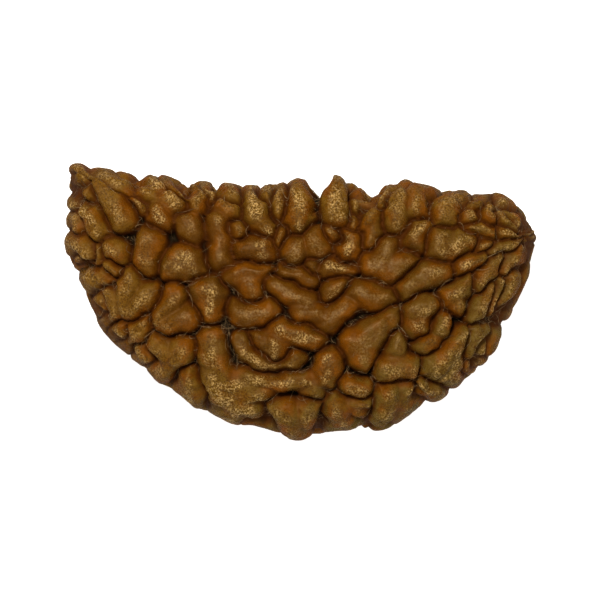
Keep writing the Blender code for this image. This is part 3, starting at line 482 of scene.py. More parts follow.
def tallness(points):
    """Distance from the rim plane as a share of the half height of the body."""
    return np.abs(points[:, 2]) / np.where(points[:, 2] >= 0.0, UPPER_HEIGHT, LOWER_HEIGHT)


def section(points):
    """Where points lie in the section: share of the way out, tallness and exponent."""
    angle = np.arctan2(points[:, 1], points[:, 0])
    share = np.hypot(points[:, 0], points[:, 1]) / outline_radius(angle)
    return share, tallness(points), bluntness(angle, points[:, 2] >= 0.0)


def body_level(points):
    """Grows outward and is 1 on the smooth body."""
    share, tall, power = section(points)
    return share**power + tall**power


def pull_to_body(points):
    """Slides points onto the smooth body along rays from its middle."""
    share, tall, power = section(points)
    scale = (share**power + tall**power) ** (-1.0 / power)
    return points * scale[:, None]


def seam_line():
    """The one seam: it follows the curved rim from the narrow tip to the blunt end."""
    angle = np.radians(np.linspace(14.0, -190.0, 150))
    angle = np.where(angle < -math.pi, angle + 2.0 * math.pi, angle)
    reach = outline_radius(angle) * 0.995
    sway = 0.35 * np.sin(angle * 5.0 + 0.6) + 0.2 * np.sin(angle * 13.0)
    return polar(reach, angle, sway)


def cleft_line(x, y, inner, under):
    """A gap that comes out of the face, crosses the rim and ends on the underside."""
    angle = math.atan2(y, x)
    limit = outline_radius(angle)
    share = np.concatenate([np.linspace(inner, 0.99, 9), np.linspace(0.985, under, 5)])
    upper = np.arange(14) < 9
    out = limit * share
    sway = 0.10 * np.sin(np.arange(14) * 1.1 + x)
    turned = angle + sway / limit
    height = body_height(share, np.full(14, angle), upper)
    return polar(out, turned, height)


def hanging(start):
    """Points that run on from a start near the rim, straight down the wall."""
    angle = math.atan2(start[1], start[0])
    limit = outline_radius(np.array([angle]))[0]
    bottom = -0.2 + 1.1 * math.sin(3.0 * start[0])
    if math.sin(angle) < 0.25:
        bottom = 0.7 + 0.3 * math.sin(4.0 * start[0])
        if start[3] < 0.40:
            bottom = max(bottom, start[2] - 1.8)
    count = max(4, int((start[2] - bottom) / STEP_ALONG))
    height = np.linspace(start[2], bottom, count)[1:]
    power = bluntness(np.full(count - 1, angle), height >= 0.0)
    tall = np.where(height >= 0.0, UPPER_HEIGHT, LOWER_HEIGHT)
    out = limit * (1.0 - (np.abs(height) / tall) ** power) ** (1.0 / power)
    turned = angle + (start[2] - height) * 0.08 * math.sin(5.0 * start[0]) / limit
    width = start[3] + (max(start[3] * 0.85, 0.60) - start[3]) * np.linspace(0.0, 1.0, count - 1)
    return polar(out, turned, height, width)


def hang_over(traced):
    """Lets every traced lump that comes near the rim run on over it."""
    for lump in traced:
        every = np.concatenate(lump)
        share = section(every)[0]
        if share.max() < HANG_SHARE:
            continue
        start = every[np.argmax(share)]
        run = hanging(start)
        for number, row in enumerate(lump):
            if np.allclose(row[0], start):
                lump[number] = np.vstack([run[::-1], row])
                break
            if np.allclose(row[-1], start):
                lump[number] = np.vstack([row, run])
                break
        else:
            lump.append(np.vstack([start, run]))


def grow_row(start, heading, length, half, rng):
    """A row of points that wanders over the body from a start in a heading."""
    spot = start.copy()
    row = [np.append(spot, half * rng.uniform(0.85, 1.0))]
    steps = int(round(length / STEP_ALONG))
    bend = rng.uniform(-0.25, 0.25)
    swell = rng.uniform(0.9, 1.15)
    for number in range(steps):
        normal = body_normals(spot[None])[0]
        side = np.cross(normal, heading)
        heading = heading + side * bend * STEP_ALONG
        heading = heading - normal * np.dot(heading, normal)
        heading /= np.linalg.norm(heading)
        spot = pull_to_body((spot + heading * STEP_ALONG)[None])[0]
        share = (number + 1.0) / max(1, steps)
        row.append(np.append(spot, half * (1.0 + (swell - 1.0) * math.sin(math.pi * share))))
    return np.array(row), heading


def room_for(row, taken, gap):
    """True when a row keeps its distance from everything already placed."""
    apart = np.linalg.norm(taken[:, None, :3] - row[None, :, :3], axis=2)
    return bool(np.all(apart - taken[:, None, 3] - row[None, :, 3] > gap))


def grown_lumps(rng, traced, seam, clefts):
    """Fills rim and back with lobes of the same family as the traced ones."""
    taken = np.concatenate([np.concatenate(lump) for lump in traced])
    for line in [seam] + clefts:
        taken = np.concatenate([taken, np.column_stack([line, np.full(len(line), 0.06)])])
    lumps = []
    rounds = (
        (1500, 0.72, 0.98, 1.2, 3.4, 0.10),
        (2600, 0.52, 0.72, 0.6, 2.2, 0.08),
        (3200, 0.38, 0.50, 0.0, 0.9, 0.04),
    )
    for tries, thin, fat, short, long, gap in rounds:
        for _ in range(tries):
            way = rng.normal(size=3)
            way /= np.linalg.norm(way)
            start = body_points(way[None])[0]
            angle = math.atan2(start[1], start[0])
            share = math.hypot(start[0], start[1]) / outline_radius(np.array([angle]))[0]
            turn = rng.normal(0.0, 1.0)
            half = rng.uniform(thin, fat)
            length = rng.uniform(short, long)
            branch = rng.uniform()
            fork = rng.uniform(1.0, 1.7) * (1.0 if rng.uniform() < 0.5 else -1.0)
            if start[2] > RIM_START or (start[2] > 0.5 and half < 0.6):
                continue
            lone = np.append(start, half * 0.85)[None]
            if not room_for(lone, taken, gap):
                continue
            normal = body_normals(start[None])[0]
            near_seam = np.linalg.norm(seam - start, axis=1)
            if near_seam.min() < 2.2:
                nearest = int(np.clip(np.argmin(near_seam), 1, len(seam) - 2))
                heading = seam[nearest + 1] - seam[nearest - 1]
                spread = 0.12
                half = min(half, 0.62)
                length = length * 1.3 + 0.6
            elif share > 0.86 and start[1] > 0.0:
                heading = np.array([0.0, 0.0, 1.0])
                spread = 0.3
            else:
                heading = np.array([start[0] * 0.25, start[1], 0.0])
                spread = 0.75
            heading = heading - normal * np.dot(heading, normal)
            heading /= np.linalg.norm(heading)
            side = np.cross(normal, heading)
            heading = heading * math.cos(turn * spread) + side * math.sin(turn * spread)
            row, _ = grow_row(start, heading, length, half, rng)
            if not room_for(row, taken, gap):
                continue
            lump = [row]
            if branch < 0.35 and length > 1.0 and near_seam.min() > 3.0:
                root = row[len(row) // 2]
                normal = body_normals(root[None, :3])[0]
                side = np.cross(normal, heading)
                limb = heading * math.cos(fork) + side * math.sin(fork)
                arm, _ = grow_row(root[:3], limb, half + rng.uniform(0.6, 1.4), half * 0.9, rng)
                if room_for(arm, taken, gap):
                    lump.append(arm)
            lumps.append(lump)
            taken = np.concatenate([taken] + lump)
    return lumps


def row_depth(query, row):
    """How far inside a tapering row each point lies, and the half width there."""
    if len(row) == 1:
        away = np.linalg.norm(query - row[0, :3], axis=1)
        return row[0, 3] - away, np.full(len(query), row[0, 3])
    best = np.full(len(query), -9.0)
    width = np.full(len(query), row[0, 3])
    for start, end in zip(row[:-1], row[1:]):
        along = end[:3] - start[:3]
        share = np.clip((query - start[:3]) @ along / (along @ along), 0.0, 1.0)
        half = start[3] + (end[3] - start[3]) * share
        away = np.linalg.norm(query - start[:3] - share[:, None] * along, axis=1)
        depth = half - away
        better = depth > best
        best = np.where(better, depth, best)
        width = np.where(better, half, width)
    return best, width


def levelled(points):
    """Heights above the rim count for less, so that traced lobes reach down the walls."""
    height = np.where(points[:, 2] > 0.0, points[:, 2] * WALL_REACH, points[:, 2])
    return np.column_stack([points[:, :2], height, points[:, 3:]])


def reach_out(points):
    """How far lobes spread past their half width: more on the walls, which they cover."""
    wall = 1.0 - smooth_step((tallness(points) - 0.30) / 0.50)
    return SLACK + (WALL_SLACK - SLACK) * wall


def rim_share(points):
    """1 on the face and the back, less on the walls, where the relief is shallower."""
    straight = edge_blend(np.arctan2(points[:, 1], points[:, 0]))
    straight *= 1.0 - smooth_step((np.abs(points[:, 0]) - 12.5) / 4.0)
    wall = RIM_RELIEF[0] + (RIM_RELIEF[1] - RIM_RELIEF[0]) * straight
    return wall + (1.0 - wall) * smooth_step((tallness(points) - 0.25) / 0.50)


def lump_field(points, lumps):
    """Depth in the best and the next lump, the best one's width, and folds inside it."""
    level = levelled(points)
    best = np.full(len(points), -4.0)
    second = np.full(len(points), -4.0)
    width = np.full(len(points), 0.6)
    fold = np.zeros(len(points))
    owner = np.full(len(points), -1)
    for number, lump in enumerate(lumps):
        if number < len(FACE_LUMPS):
            lump = [levelled(row) for row in lump]
            field = level
        else:
            field = points
        every = np.concatenate(lump)
        margin = every[:, 3].max() + REACH
        low = every[:, :3].min(axis=0) - margin
        high = every[:, :3].max(axis=0) + margin
        near = np.nonzero(np.all((field > low) & (field < high), axis=1))[0]
        if len(near) == 0:
            continue
        query = field[near]
        total = np.zeros(len(near))
        mixed = np.zeros(len(near))
        leader = np.full(len(near), -4.0)
        rival = np.full(len(near), -4.0)
        for row in lump:
            depth, half = row_depth(query, row)
            rival = np.maximum(rival, np.minimum(depth, leader))
            leader = np.maximum(leader, depth)
            weight = np.exp(depth / SOFT)
            total += weight
            mixed += weight * half
        depth = SOFT * np.log(total + 1e-30)
        half = mixed / (total + 1e-30)
        shallow = np.clip(1.0 - (rival + 0.1) / 0.75, 0.0, 1.0)
        dent = np.exp(-(((leader - rival) * 0.5 / FOLD_HALF) ** 2)) * shallow
        wins = depth > best[near]
        second[near] = np.where(wins, best[near], np.maximum(second[near], depth))
        best[near] = np.where(wins, depth, best[near])
        width[near] = np.where(wins, half, width[near])
        fold[near] = np.where(wins, dent, fold[near])
        owner[near] = np.where(wins, number, owner[near])
    return best, second, width, fold, owner


def line_distance(points, line):
    """Distance to a line of points, exact only within its reach."""
    nearest = np.full(len(points), LINE_REACH * 2.0)
    low = line.min(axis=0) - LINE_REACH
    high = line.max(axis=0) + LINE_REACH
    near = np.nonzero(np.all((points > low) & (points < high), axis=1))[0]
    query = points[near]
    found = nearest[near]
    for start, end in zip(line[:-1], line[1:]):
        along = end - start
        share = np.clip((query - start) @ along / (along @ along), 0.0, 1.0)
        found = np.minimum(found, np.linalg.norm(query - start - share[:, None] * along, axis=1))
    nearest[near] = found
    return nearest


def soft_min(first, second, reach):
    """The smaller of two fields with a rounded change-over."""
    blend = np.clip(0.5 + 0.5 * (second - first) / reach, 0.0, 1.0)
    return second * (1.0 - blend) + first * blend - reach * blend * (1.0 - blend)


def hollows(points):
    """1 in the middle of the wide hollows of the face, fading to 0 around them."""
    pit = np.zeros(len(points))
    for x, y, reach in PITS:
        middle = place([x], [y])[0]
        away = np.linalg.norm(points - middle, axis=1) / reach
        pit = np.maximum(pit, np.exp(-(away**3)))
    return pit


def all_lumps():
    """Traced lobes, then the grown ones, with the seam and the clefts."""
    rng = np.random.default_rng(SEED)
    traced = [[fine_row(row) for row in lump] for lump in FACE_LUMPS]
    hang_over(traced)
    seam = seam_line()
    clefts = [cleft_line(*row[:4]) for row in CLEFTS]
    return traced + grown_lumps(rng, traced, seam, clefts), seam, clefts


def wander(points, rng):
    """Small smooth shifts that keep the edges of the lobes from running straight."""
    shift = np.column_stack([waves(points, rng, 2.1) for _ in range(3)]) * 0.13
    return shift + np.column_stack([waves(points, rng, 0.9) for _ in range(3)]) * 0.035


def sink(points, lumps, seam, clefts):
    """How far each point of the smooth body drops below the tops of the lobes."""
    rng = np.random.default_rng(SEED + 1)
    drift = wander(points, rng)
    best, second, width, fold, owner = lump_field(points + drift, lumps)
    lift = rng.uniform(-0.14, 0.10, size=len(lumps) + 1)[owner]
    pit = hollows(points + drift * 2.0)
    inside = best + reach_out(points)
    crack = 0.5 * (best - second) + CRACK_FLOOR
    depth = soft_min(inside, crack, MEET)
    along_seam = line_distance(points + drift * 0.6, seam) - SEAM_HALF
    depth = soft_min(depth, along_seam, 0.10)
    for line, row in zip(clefts, CLEFTS):
        depth = soft_min(depth, line_distance(points + drift, line) - row[4], 0.10)
    notch = NOTCH_SINK - NOTCH_SLOPE * line_distance(points, clefts[0])
    notch = notch * (1.0 - smooth_step((tallness(points) - 0.55) / 0.40))
    share = np.clip(depth / (width + TOP_SPAN), 0.0, 1.0)
    peak = LUMP_HEIGHT * (0.62 + 0.38 * np.clip(width / 0.85, 0.0, 1.0)) + lift
    share = share * share / (share + CREASE_EASE) * (1.0 + CREASE_EASE)
    swell = (1.0 - (1.0 - share) ** ROUND) ** (1.0 / ROUND)
    uneven = (0.07 * waves(points, rng, 1.4) + 0.03 * waves(points, rng, 0.6)) * share
    floor = (0.12 * waves(points, rng, 1.7) + 0.09 * waves(points, rng, 0.7)) * (1.0 - share)
    drop = LUMP_HEIGHT + 0.1 - peak * swell + FOLD_DEPTH * fold * swell - uneven - floor
    drop = drop * rim_share(points) + PIT_SINK * pit * (1.0 - share)
    return -soft_min(-drop, -notch, 0.25)


def eased(values, quads, rounds):
    """Values at mesh corners, averaged a little with their neighbours."""
    ends = np.concatenate([quads[:, [0, 1]], quads[:, [1, 2]], quads[:, [2, 3]], quads[:, [3, 0]]])
    count = np.bincount(ends[:, 0], minlength=len(values)).astype(float)
    count += np.bincount(ends[:, 1], minlength=len(values))
    for _ in range(rounds):
        total = np.bincount(ends[:, 0], weights=values[ends[:, 1]], minlength=len(values))
        total += np.bincount(ends[:, 1], weights=values[ends[:, 0]], minlength=len(values))
        values = 0.5 * values + 0.5 * total / count
    return values


def thinned(mesh, limit):
    """The same shape with at most the wanted number of triangles."""
    holder = bpy.data.objects.new("thinning", mesh)
    bpy.context.scene.collection.objects.link(holder)
    fewer = holder.modifiers.new("fewer", "DECIMATE")
    fewer.decimate_type = "COLLAPSE"
    fewer.ratio = limit / (2.0 * len(mesh.polygons))
    fewer.use_collapse_triangulate = True
    graph = bpy.context.evaluated_depsgraph_get()
    result = bpy.data.meshes.new_from_object(holder.evaluated_get(graph))
    bpy.data.objects.remove(holder)
    return result


def paint(mesh, name, values):
    """Stores one number for each corner, for the materials to read."""
    layer = mesh.attributes.new(name, "FLOAT", "POINT")
    layer.data.foreach_set("value", np.asarray(values, dtype=np.float32))


def add_object(name, mesh, material):
    """Shows a mesh, softly shaded, as a piece that rides on the bead's body."""
    mesh.polygons.foreach_set("use_smooth", [True] * len(mesh.polygons))
    mesh.materials.clear()
    mesh.materials.append(material)
    piece = bpy.data.objects.new(name, mesh)
    bpy.context.scene.collection.objects.link(piece)
    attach(piece, "root")
    return piece


class Graph:
    """A short way to write shader nodes."""

    def __init__(self, name):
        self.material = bpy.data.materials.new(name)
        self.material.use_nodes = True
        self.tree = self.material.node_tree
        self.shader = self.tree.nodes["Principled BSDF"]

    def feed(self, item, inputs):
        """Puts numbers and colours on a node's sockets, and links results to them."""
        for name, value in inputs.items():
            if isinstance(value, (int, float, tuple)):
                item.inputs[name].default_value = value
            else:
                self.tree.links.new(value, item.inputs[name])

    def node(self, kind, result, inputs, **settings):
        item = self.tree.nodes.new(kind)
        for key, value in settings.items():
            setattr(item, key, value)
        self.feed(item, inputs)
        return item.outputs[result]

    def attribute(self, name):
        return self.node("ShaderNodeAttribute", "Fac", {}, attribute_name=name)

    def place(self):
        return self.node("ShaderNodeTexCoord", "Object", {})

    def noise(self, vector, length_mm, detail=3.0, rough=0.55, warp=0.0):
        inputs = {"Vector": vector, "Scale": 1.0 / (length_mm * MM), "Detail": detail}
        inputs.update({"Roughness": rough, "Distortion": warp})
        return self.node("ShaderNodeTexNoise", "Fac", inputs)

    def cells(self, vector, length_mm):
        inputs = {"Vector": vector, "Scale": 1.0 / (length_mm * MM)}
        return self.node("ShaderNodeTexVoronoi", "Distance", inputs, feature="F1")

    def spread(self, value, low, high, to_low=0.0, to_high=1.0):
        inputs = {"Value": value, "From Min": low, "From Max": high, "To Min": to_low, "To Max": to_high}
        return self.node("ShaderNodeMapRange", "Result", inputs, interpolation_type="SMOOTHSTEP")

    def math(self, operation, first, second):
        return self.node("ShaderNodeMath", "Value", {0: first, 1: second}, operation=operation)

    def product(self, first, *others):
        for other in others:
            first = self.math("MULTIPLY", first, other)
        return first

    def mix(self, share, first, second):
        inputs = {"Factor": share, "A": first, "B": second}
        return self.node("ShaderNodeMix", "Result", inputs, data_type="RGBA")

    def bump(self, height, strength, distance_mm, below=None):
        inputs = {"Strength": strength, "Distance": distance_mm * MM, "Height": height}
        if below is not None:
            inputs["Normal"] = below
        return self.node("ShaderNodeBump", "Normal", inputs)


def stone_material():
    """Waxy golden-brown stone, with painted shade down the flanks and in the gaps, painted light at the rim
    and painted glints among the worn granules on the lobes.
    """
    graph = Graph("rudraksha_stone")
    where = graph.place()
    names = ("rise", "tone", "pale", "crest", "crease", "outer", "grey_reflection")
    rise, tone, pale, crest, crease, outer, grey_reflection = [graph.attribute(name) for name in names]
    mottled = graph.noise(where, MOTTLE_SIZE, 5.0, 0.65)
    grains = graph.noise(where, GRAIN_SIZE, 3.0, 0.6)
    hues = graph.noise(where, HUE_SIZE, 2.0, 0.5)

    # Broad tones: random golden and red patches and a tone for each lobe; painted shade darkens the middle,
    # painted light pales the rim, and a painted olive reflection greys the rim and the right and lower side.
    broad = graph.spread(graph.noise(where, BROAD_SIZE, 2.0), 0.35, 0.65)
    body = graph.mix(broad, GOLDEN_BROWN, RED_BROWN)
    body = graph.mix(graph.spread(tone, -1.0, 1.0, 0.0, 0.75), body, YELLOW_BROWN)
    body = graph.mix(graph.spread(outer, 0.0, 0.8, 0.55, 0.0), body, MIDDLE_SHADE_BROWN)
    body = graph.mix(graph.spread(outer, 0.3, 1.0, 0.0, 0.70), body, RIM_LIGHT_BROWN)
    reflected_olive = graph.product(grey_reflection, graph.spread(hues, 0.35, 0.62, 0.95, 0.15))
    body = graph.mix(reflected_olive, body, REFLECTED_OLIVE_BROWN)
    # Painted redder shade: orange patches, broken up at random, on the flanks of the lobes.
    flank_shade = graph.spread(crest, 0.25, 0.95, 1.0, 0.15)
    body = graph.mix(graph.product(flank_shade, graph.spread(hues, 0.42, 0.62)), body, ORANGE_SHADE_BROWN)
    body = graph.mix(graph.spread(mottled, 0.42, 0.68, 0.0, 0.50), body, DARK_BROWN)

    # Worn granules on the tops of the lobes, which also serve as painted glints, and dark specks there, fewer
    # in the middle.
    grainy = graph.spread(outer, 0.0, 0.6, 0.42, 1.0)
    grainy = graph.math("MAXIMUM", grainy, graph.spread(pale, 0.2, 0.7))
    dots = graph.spread(graph.cells(where, DOT_SIZE), 0.62, 0.30)
    dots = graph.product(dots, graph.spread(grains, 0.36, 0.56))
    dots = graph.math("MAXIMUM", dots, graph.spread(grains, 0.50, 0.58))
    patches = graph.spread(graph.noise(where, PATCH_SIZE, 3.0, 0.55), 0.40, 0.60)
    top = graph.spread(crest, 0.10, 0.75)
    worn_and_glints = graph.product(graph.spread(pale, 0.0, 0.9, 0.45, 1.0), dots, top, patches, grainy)
    body = graph.mix(worn_and_glints, body, WORN_GLINT_TAN)
    specks = graph.spread(graph.noise(where, SPECK_SIZE, 3.0, 0.7), 0.47, 0.58, 0.0, 0.85)
    specks = graph.product(specks, graph.spread(crest, 0.05, 0.75, 0.25, 1.0), grainy)
    body = graph.mix(specks, body, SPECK_BROWN)

    # Painted shade, partly the grooves' own darker colour: darker down the flanks, darkest in the pits.
    body = graph.mix(graph.spread(rise, 0.16, 0.72), FLANK_SHADE_BROWN, body)
    body = graph.mix(graph.spread(crease, 0.05, 1.0), CREASE_SHADE_BROWN, body)
    body = graph.mix(graph.spread(rise, 0.04, 0.42), GAP_SHADE_BROWN, body)
    body = graph.mix(graph.spread(rise, 0.00, 0.10), PIT_SHADE_BROWN, body)

    rough = graph.spread(grains, 0.3, 0.7, 0.17, 0.36)
    rough = graph.math("ADD", rough, graph.spread(crease, 0.1, 1.0, 0.45, 0.0))
    normal = graph.bump(graph.noise(where, WRINKLE_SIZE, 4.0, 0.62, 0.4), 0.55, WRINKLE_DEPTH)
    normal = graph.bump(graph.product(grains, grainy), 1.00, GRAIN_DEPTH, normal)
    graph.feed(graph.shader, {"Base Color": body, "Roughness": rough, "Normal": normal})
    graph.feed(graph.shader, {"Specular IOR Level": STONE_GLOSS, "Specular Tint": GLOSS_TINT})
    return graph.material


def fibre_material():
    """Dry pale plant fibre."""
    graph = Graph("dry_fibre")
    shade = graph.noise(graph.place(), FIBRE_SHADE_SIZE, 2.0)
    colour = graph.mix(graph.spread(shade, 0.3, 0.7), FIBRE_BROWN, FIBRE_TAN)
    graph.feed(graph.shader, {"Base Color": colour, "Roughness": 0.8, "Specular IOR Level": 0.05})
    return graph.material


def tube_mesh(name, paths, radii, sides=4):
    """Thin closed tubes along paths of equal point count."""
    count, length, _ = paths.shape
    along = np.gradient(paths, axis=1)
    along /= np.linalg.norm(along, axis=2)[:, :, None] + 1e-12
    helper = np.tile(np.array([0.31, 0.52, 0.79]), (count, length, 1))
    side = np.cross(along, helper)
    side /= np.linalg.norm(side, axis=2)[:, :, None] + 1e-12
    other = np.cross(along, side)
    taper = np.sin(np.linspace(0.12, math.pi - 0.12, length)) ** 0.5
    rings = []
    for step in range(sides):
        turn = 2.0 * math.pi * step / sides
        offset = side * math.cos(turn) + other * math.sin(turn)
        rings.append(paths + offset * (radii[:, None] * taper[None])[:, :, None])
    points = np.stack(rings, axis=2).reshape(-1, 3)
    faces = []
    for number in range(count):
        base = number * length * sides
        for row in range(length - 1):
            low = base + row * sides
            for step in range(sides):
                step_next = (step + 1) % sides
                upper = low + sides
                faces.append((low + step, low + step_next, upper + step_next, upper + step))
        faces.append(tuple(base + step for step in range(sides))[::-1])
        top = base + (length - 1) * sides
        faces.append(tuple(top + step for step in range(sides)))
    return make_mesh(name, points, faces)


def fibre_paths(rng, wanted, lengths, low_drop, form, shift):
    """Fibres that lie along the gaps between lobes."""
    ways = rng.normal(size=(wanted * 12, 3))
    ways /= np.linalg.norm(ways, axis=1)[:, None]
    starts = body_points(ways)
    starts = starts[sink(starts, *form) > low_drop][:wanted]
    normals = body_normals(starts)
    count = len(starts)
    first = np.cross(normals, rng.normal(size=(count, 3)))
    first /= np.linalg.norm(first, axis=1)[:, None]
    second = np.cross(normals, first)
    reach = rng.uniform(*lengths, size=count)
    best = np.full(count, -9.0)
    heading = first.copy()
    for step in range(8):
        turn = math.pi * step / 8.0
        way = first * math.cos(turn) + second * math.sin(turn)
        score = np.zeros(count)
        for share in (-0.5, -0.25, 0.25, 0.5):
            spots = pull_to_body(starts + way * (reach * share)[:, None])
            score += np.minimum(sink(spots, *form), 1.5)
        heading = np.where((score > best)[:, None], way, heading)
        best = np.maximum(best, score)
    heading += rng.normal(scale=0.40, size=(count, 3))
    bow = rng.uniform(-0.25, 0.25, size=count)
    across = np.cross(normals, heading)
    spots = []
    for share in np.linspace(-0.5, 0.5, FIBRE_POINTS):
        bend = bow * (share * share * 4.0 - 1.0)
        spot = starts + heading * (reach * share)[:, None] + across * bend[:, None]
        spots.append(pull_to_body(spot))
    spots = np.stack(spots, axis=1).reshape(-1, 3)
    lift = np.repeat(rng.uniform(*FIBRE_LIFTS, size=count), FIBRE_POINTS)
    raised = spots - body_normals(spots) * (sink(spots, *form) - lift)[:, None]
    raised = raised.reshape(count, FIBRE_POINTS, 3)
    for _ in range(2):
        raised[:, 1:-1] = 0.5 * raised[:, 1:-1] + 0.25 * (raised[:, :-2] + raised[:, 2:])
    raised += shift
    return raised[raised[:, :, 2].min(axis=1) > FIBRE_CLEARANCE]


def build_stone():
    """The bead itself, finer than the frame's solid."""
    directions, quads = box_grid(CELLS)
    body = body_points(directions)
    normals = outward(make_mesh("smooth_body", body, quads.tolist()))
    form = all_lumps()
    lumps = form[0]
    drop = eased(sink(body, *form), quads, 1)
    points = body - normals * drop[:, None]
    low = points[:, 2].min() + REST_CUT
    points[:, 2] = np.maximum(points[:, 2], low)
    rng = np.random.default_rng(SEED + 2)
    drift = wander(body, np.random.default_rng(SEED + 1))
    best, second, width, fold, owner = lump_field(body + drift, lumps)
    crest = np.clip(best / width, 0.0, 1.0)
    inside = np.minimum(best + reach_out(body), 0.5 * (best - second) + CRACK_FLOOR)
    crease = np.clip(inside / CREASE_REACH, 0.0, 1.0) * (1.0 - 0.35 * fold)
    share = section(body)[0]
    outer = smooth_step((share - 0.35) / 0.60)
    # Painted reflection: a greyer olive towards the rim and towards the right and lower side.
    side = np.clip(0.35 + 0.030 * body[:, 0] - 0.045 * body[:, 1], 0.10, 1.0)
    grey_reflection = side * np.clip((share - 0.20) / 0.50, 0.0, 1.0)
    tone = eased(rng.uniform(-1.0, 1.0, size=len(lumps) + 1)[owner], quads, 3)
    pale = np.clip(rng.normal(0.25, 0.35, size=len(lumps) + 1), 0.0, 1.0)[owner]
    pale = eased(pale, quads, 3)
    rise = np.clip(1.0 - (drop - 0.1) / LUMP_HEIGHT, 0.0, 1.0)
    middle = 0.5 * (points.min(axis=0) + points.max(axis=0))
    shift = np.array([-middle[0], -middle[1], -low])
    mesh = make_mesh("bead_surface", points + shift, quads.tolist())
    fields = {"rise": rise, "tone": tone, "pale": pale, "crest": crest}
    fields.update({"crease": crease, "outer": outer, "grey_reflection": grey_reflection})
    for name, values in fields.items():
        paint(mesh, name, values)
    mesh = thinned(mesh, FACE_LIMIT)
    mesh.name = "bead_surface"
    return mesh, form, shift


# Colours of the stone from its lobes down into the pits, of the fibres and the gloss.
GOLDEN_BROWN = (0.158, 0.060, 0.0030, 1.0)
RED_BROWN = (0.140, 0.042, 0.0018, 1.0)
# Orange for the flanks, a painted redder shade.
ORANGE_SHADE_BROWN = (0.192, 0.058, 0.0014, 1.0)
# Painted olive reflection for the rim and the right and lower side.
REFLECTED_OLIVE_BROWN = (0.135, 0.082, 0.0130, 1.0)
# Painted shade for the middle of the face, then painted light for the rim.
MIDDLE_SHADE_BROWN = (0.085, 0.028, 0.0012, 1.0)
RIM_LIGHT_BROWN = (0.200, 0.094, 0.0080, 1.0)
YELLOW_BROWN = (0.160, 0.073, 0.0070, 1.0)
DARK_BROWN = (0.080, 0.027, 0.0020, 1.0)
# Worn tan granules, partly painted glints.
WORN_GLINT_TAN = (0.640, 0.410, 0.1400, 1.0)
SPECK_BROWN = (0.060, 0.022, 0.0015, 1.0)
# Painted shade, partly the grooves' own darker colour, from the flanks down into the pits.
FLANK_SHADE_BROWN = (0.098, 0.026, 0.0010, 1.0)
CREASE_SHADE_BROWN = (0.064, 0.015, 0.0004, 1.0)
GAP_SHADE_BROWN = (0.017, 0.0035, 0.0002, 1.0)
PIT_SHADE_BROWN = (0.006, 0.003, 0.0010, 1.0)
FIBRE_BROWN = (0.080, 0.045, 0.020, 1.0)
FIBRE_TAN = (0.42, 0.28, 0.14, 1.0)
GLOSS_TINT = (1.0, 0.78, 0.46, 1.0)
STONE_GLOSS = 0.20

# Sizes and depths of the patterns in the stone's surface, in millimetres.
BROAD_SIZE = 4.5
HUE_SIZE = 2.2
PATCH_SIZE = 1.3
MOTTLE_SIZE = 0.55
GRAIN_SIZE = 0.16
DOT_SIZE = 0.15
SPECK_SIZE = 0.15
WRINKLE_SIZE = 0.34
WRINKLE_DEPTH = 0.11
GRAIN_DEPTH = 0.080
CREASE_REACH = 0.36

# Loose fibres in the gaps: lengths, counts, radii, heights above the relief, and
# how deep they start.
SHORT_FIBRES = (0.25, 1.0)
LONG_FIBRES = (1.2, 2.6)
FIBRE_POINTS = 7
FIBRE_COUNT = 2200
LONG_COUNT = 90
FIBRE_RADII = (0.009, 0.019)
FIBRE_LIFTS = (0.02, 0.16)
SHORT_DROP = 1.30
LONG_DROP = 0.9
FIBRE_CLEARANCE = 0.10
FIBRE_SHADE_SIZE = 0.6

# The studio: lamps as name, place, size and watts, then floor, room and view.
LAMP_COLOUR = (1.0, 0.93, 0.82)
LAMPS = (
    ("key_light", (-45.0, 110.0, 275.0), 50.0, 0.75),
    ("fill_light", (60.0, -20.0, 320.0), 260.0, 0.20),
    ("low_light", (30.0, -300.0, 90.0), 160.0, 0.09),
    ("left_light", (-300.0, -40.0, 110.0), 160.0, 0.09),
    ("right_light", (300.0, -80.0, 110.0), 160.0, 0.09),
)
FLOOR_HALF = 1000.0
FLOOR_COLOUR = (0.93, 0.93, 0.93, 1.0)
FLOOR_GLOW = 0.88
ROOM_COLOUR = (1.0, 0.95, 0.88, 1.0)
ROOM_STRENGTH = 0.15
VIEW_WIDTH = 51.06
VIEW_MIDDLE = (-0.085, 0.085)
CAMERA_AWAY = 450.0
SENSOR_WIDTH = 36.0


def build_fibres(form, shift):
    """Short and long fibres as one mesh of thin tubes."""
    rng = np.random.default_rng(SEED + 3)
    short = fibre_paths(rng, FIBRE_COUNT, SHORT_FIBRES, SHORT_DROP, form, shift)
    long = fibre_paths(rng, LONG_COUNT, LONG_FIBRES, LONG_DROP, form, shift)
    paths = np.concatenate([short, long])
    return tube_mesh("gap_fibres", paths, rng.uniform(*FIBRE_RADII, size=len(paths)))


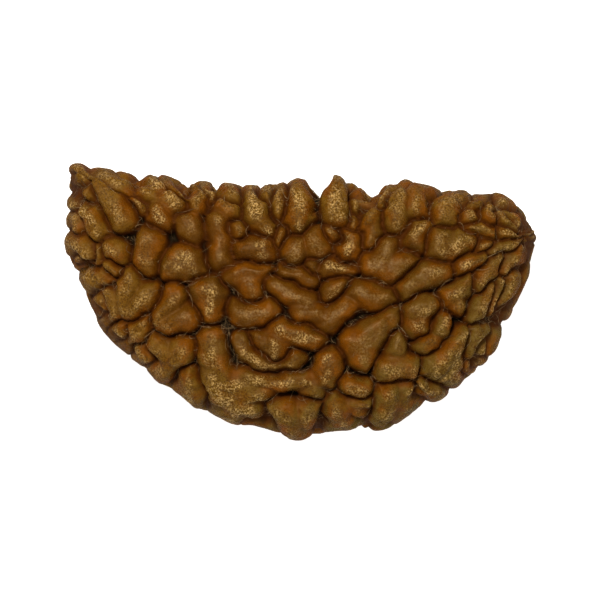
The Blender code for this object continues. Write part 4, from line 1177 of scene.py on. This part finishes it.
def build_floor():
    """The plain pale ground, which glows a little."""
    graph = Graph("pale_floor")
    graph.feed(graph.shader, {"Base Color": FLOOR_COLOUR, "Roughness": 0.9})
    graph.feed(graph.shader, {"Emission Color": (1.0, 1.0, 1.0, 1.0), "Emission Strength": FLOOR_GLOW})
    corners = np.array([(-1.0, -1.0, 0.0), (1.0, -1.0, 0.0), (1.0, 1.0, 0.0), (-1.0, 1.0, 0.0)])
    mesh = make_mesh("floor", FLOOR_HALF * corners, [(0, 1, 2, 3)])
    mesh.materials.append(graph.material)
    floor = bpy.data.objects.new("floor", mesh)
    bpy.context.scene.collection.objects.link(floor)
    floor.visible_glossy = False


def build_room():
    """Even warm light from all around."""
    world = bpy.data.worlds.new("studio")
    world.use_nodes = True
    light = world.node_tree.nodes["Background"]
    light.inputs["Color"].default_value = ROOM_COLOUR
    light.inputs["Strength"].default_value = ROOM_STRENGTH
    bpy.context.scene.world = world


def add_light(name, place_mm, size_mm, watts):
    """A soft square lamp that faces the bead."""
    lamp = bpy.data.lights.new(name, "AREA")
    lamp.size = size_mm * MM
    lamp.energy = watts
    lamp.color = LAMP_COLOUR
    holder = bpy.data.objects.new(name, lamp)
    holder.location = Vector(place_mm) * MM
    holder.rotation_euler = (-holder.location).to_track_quat("-Z", "Y").to_euler()
    bpy.context.scene.collection.objects.link(holder)


def add_camera(shift):
    """The view from straight above."""
    lens = bpy.data.cameras.new("camera")
    lens.sensor_width = SENSOR_WIDTH
    lens.lens = SENSOR_WIDTH * CAMERA_AWAY / VIEW_WIDTH
    lens.clip_start = 0.01
    lens.clip_end = 10.0
    camera = bpy.data.objects.new("camera", lens)
    place = (VIEW_MIDDLE[0] + shift[0], VIEW_MIDDLE[1] + shift[1], CAMERA_AWAY + shift[2])
    camera.location = Vector(place) * MM
    bpy.context.scene.collection.objects.link(camera)
    bpy.context.scene.camera = camera


stone_mesh, form, shift = build_stone()
stone = add_object("bead_surface", stone_mesh, stone_material())
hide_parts("bead")
add_object("gap_fibres", build_fibres(form, shift), fibre_material())
build_floor()
build_room()
for lamp in LAMPS:
    add_light(*lamp)
add_camera(shift)
bpy.context.scene.view_settings.view_transform = "Standard"
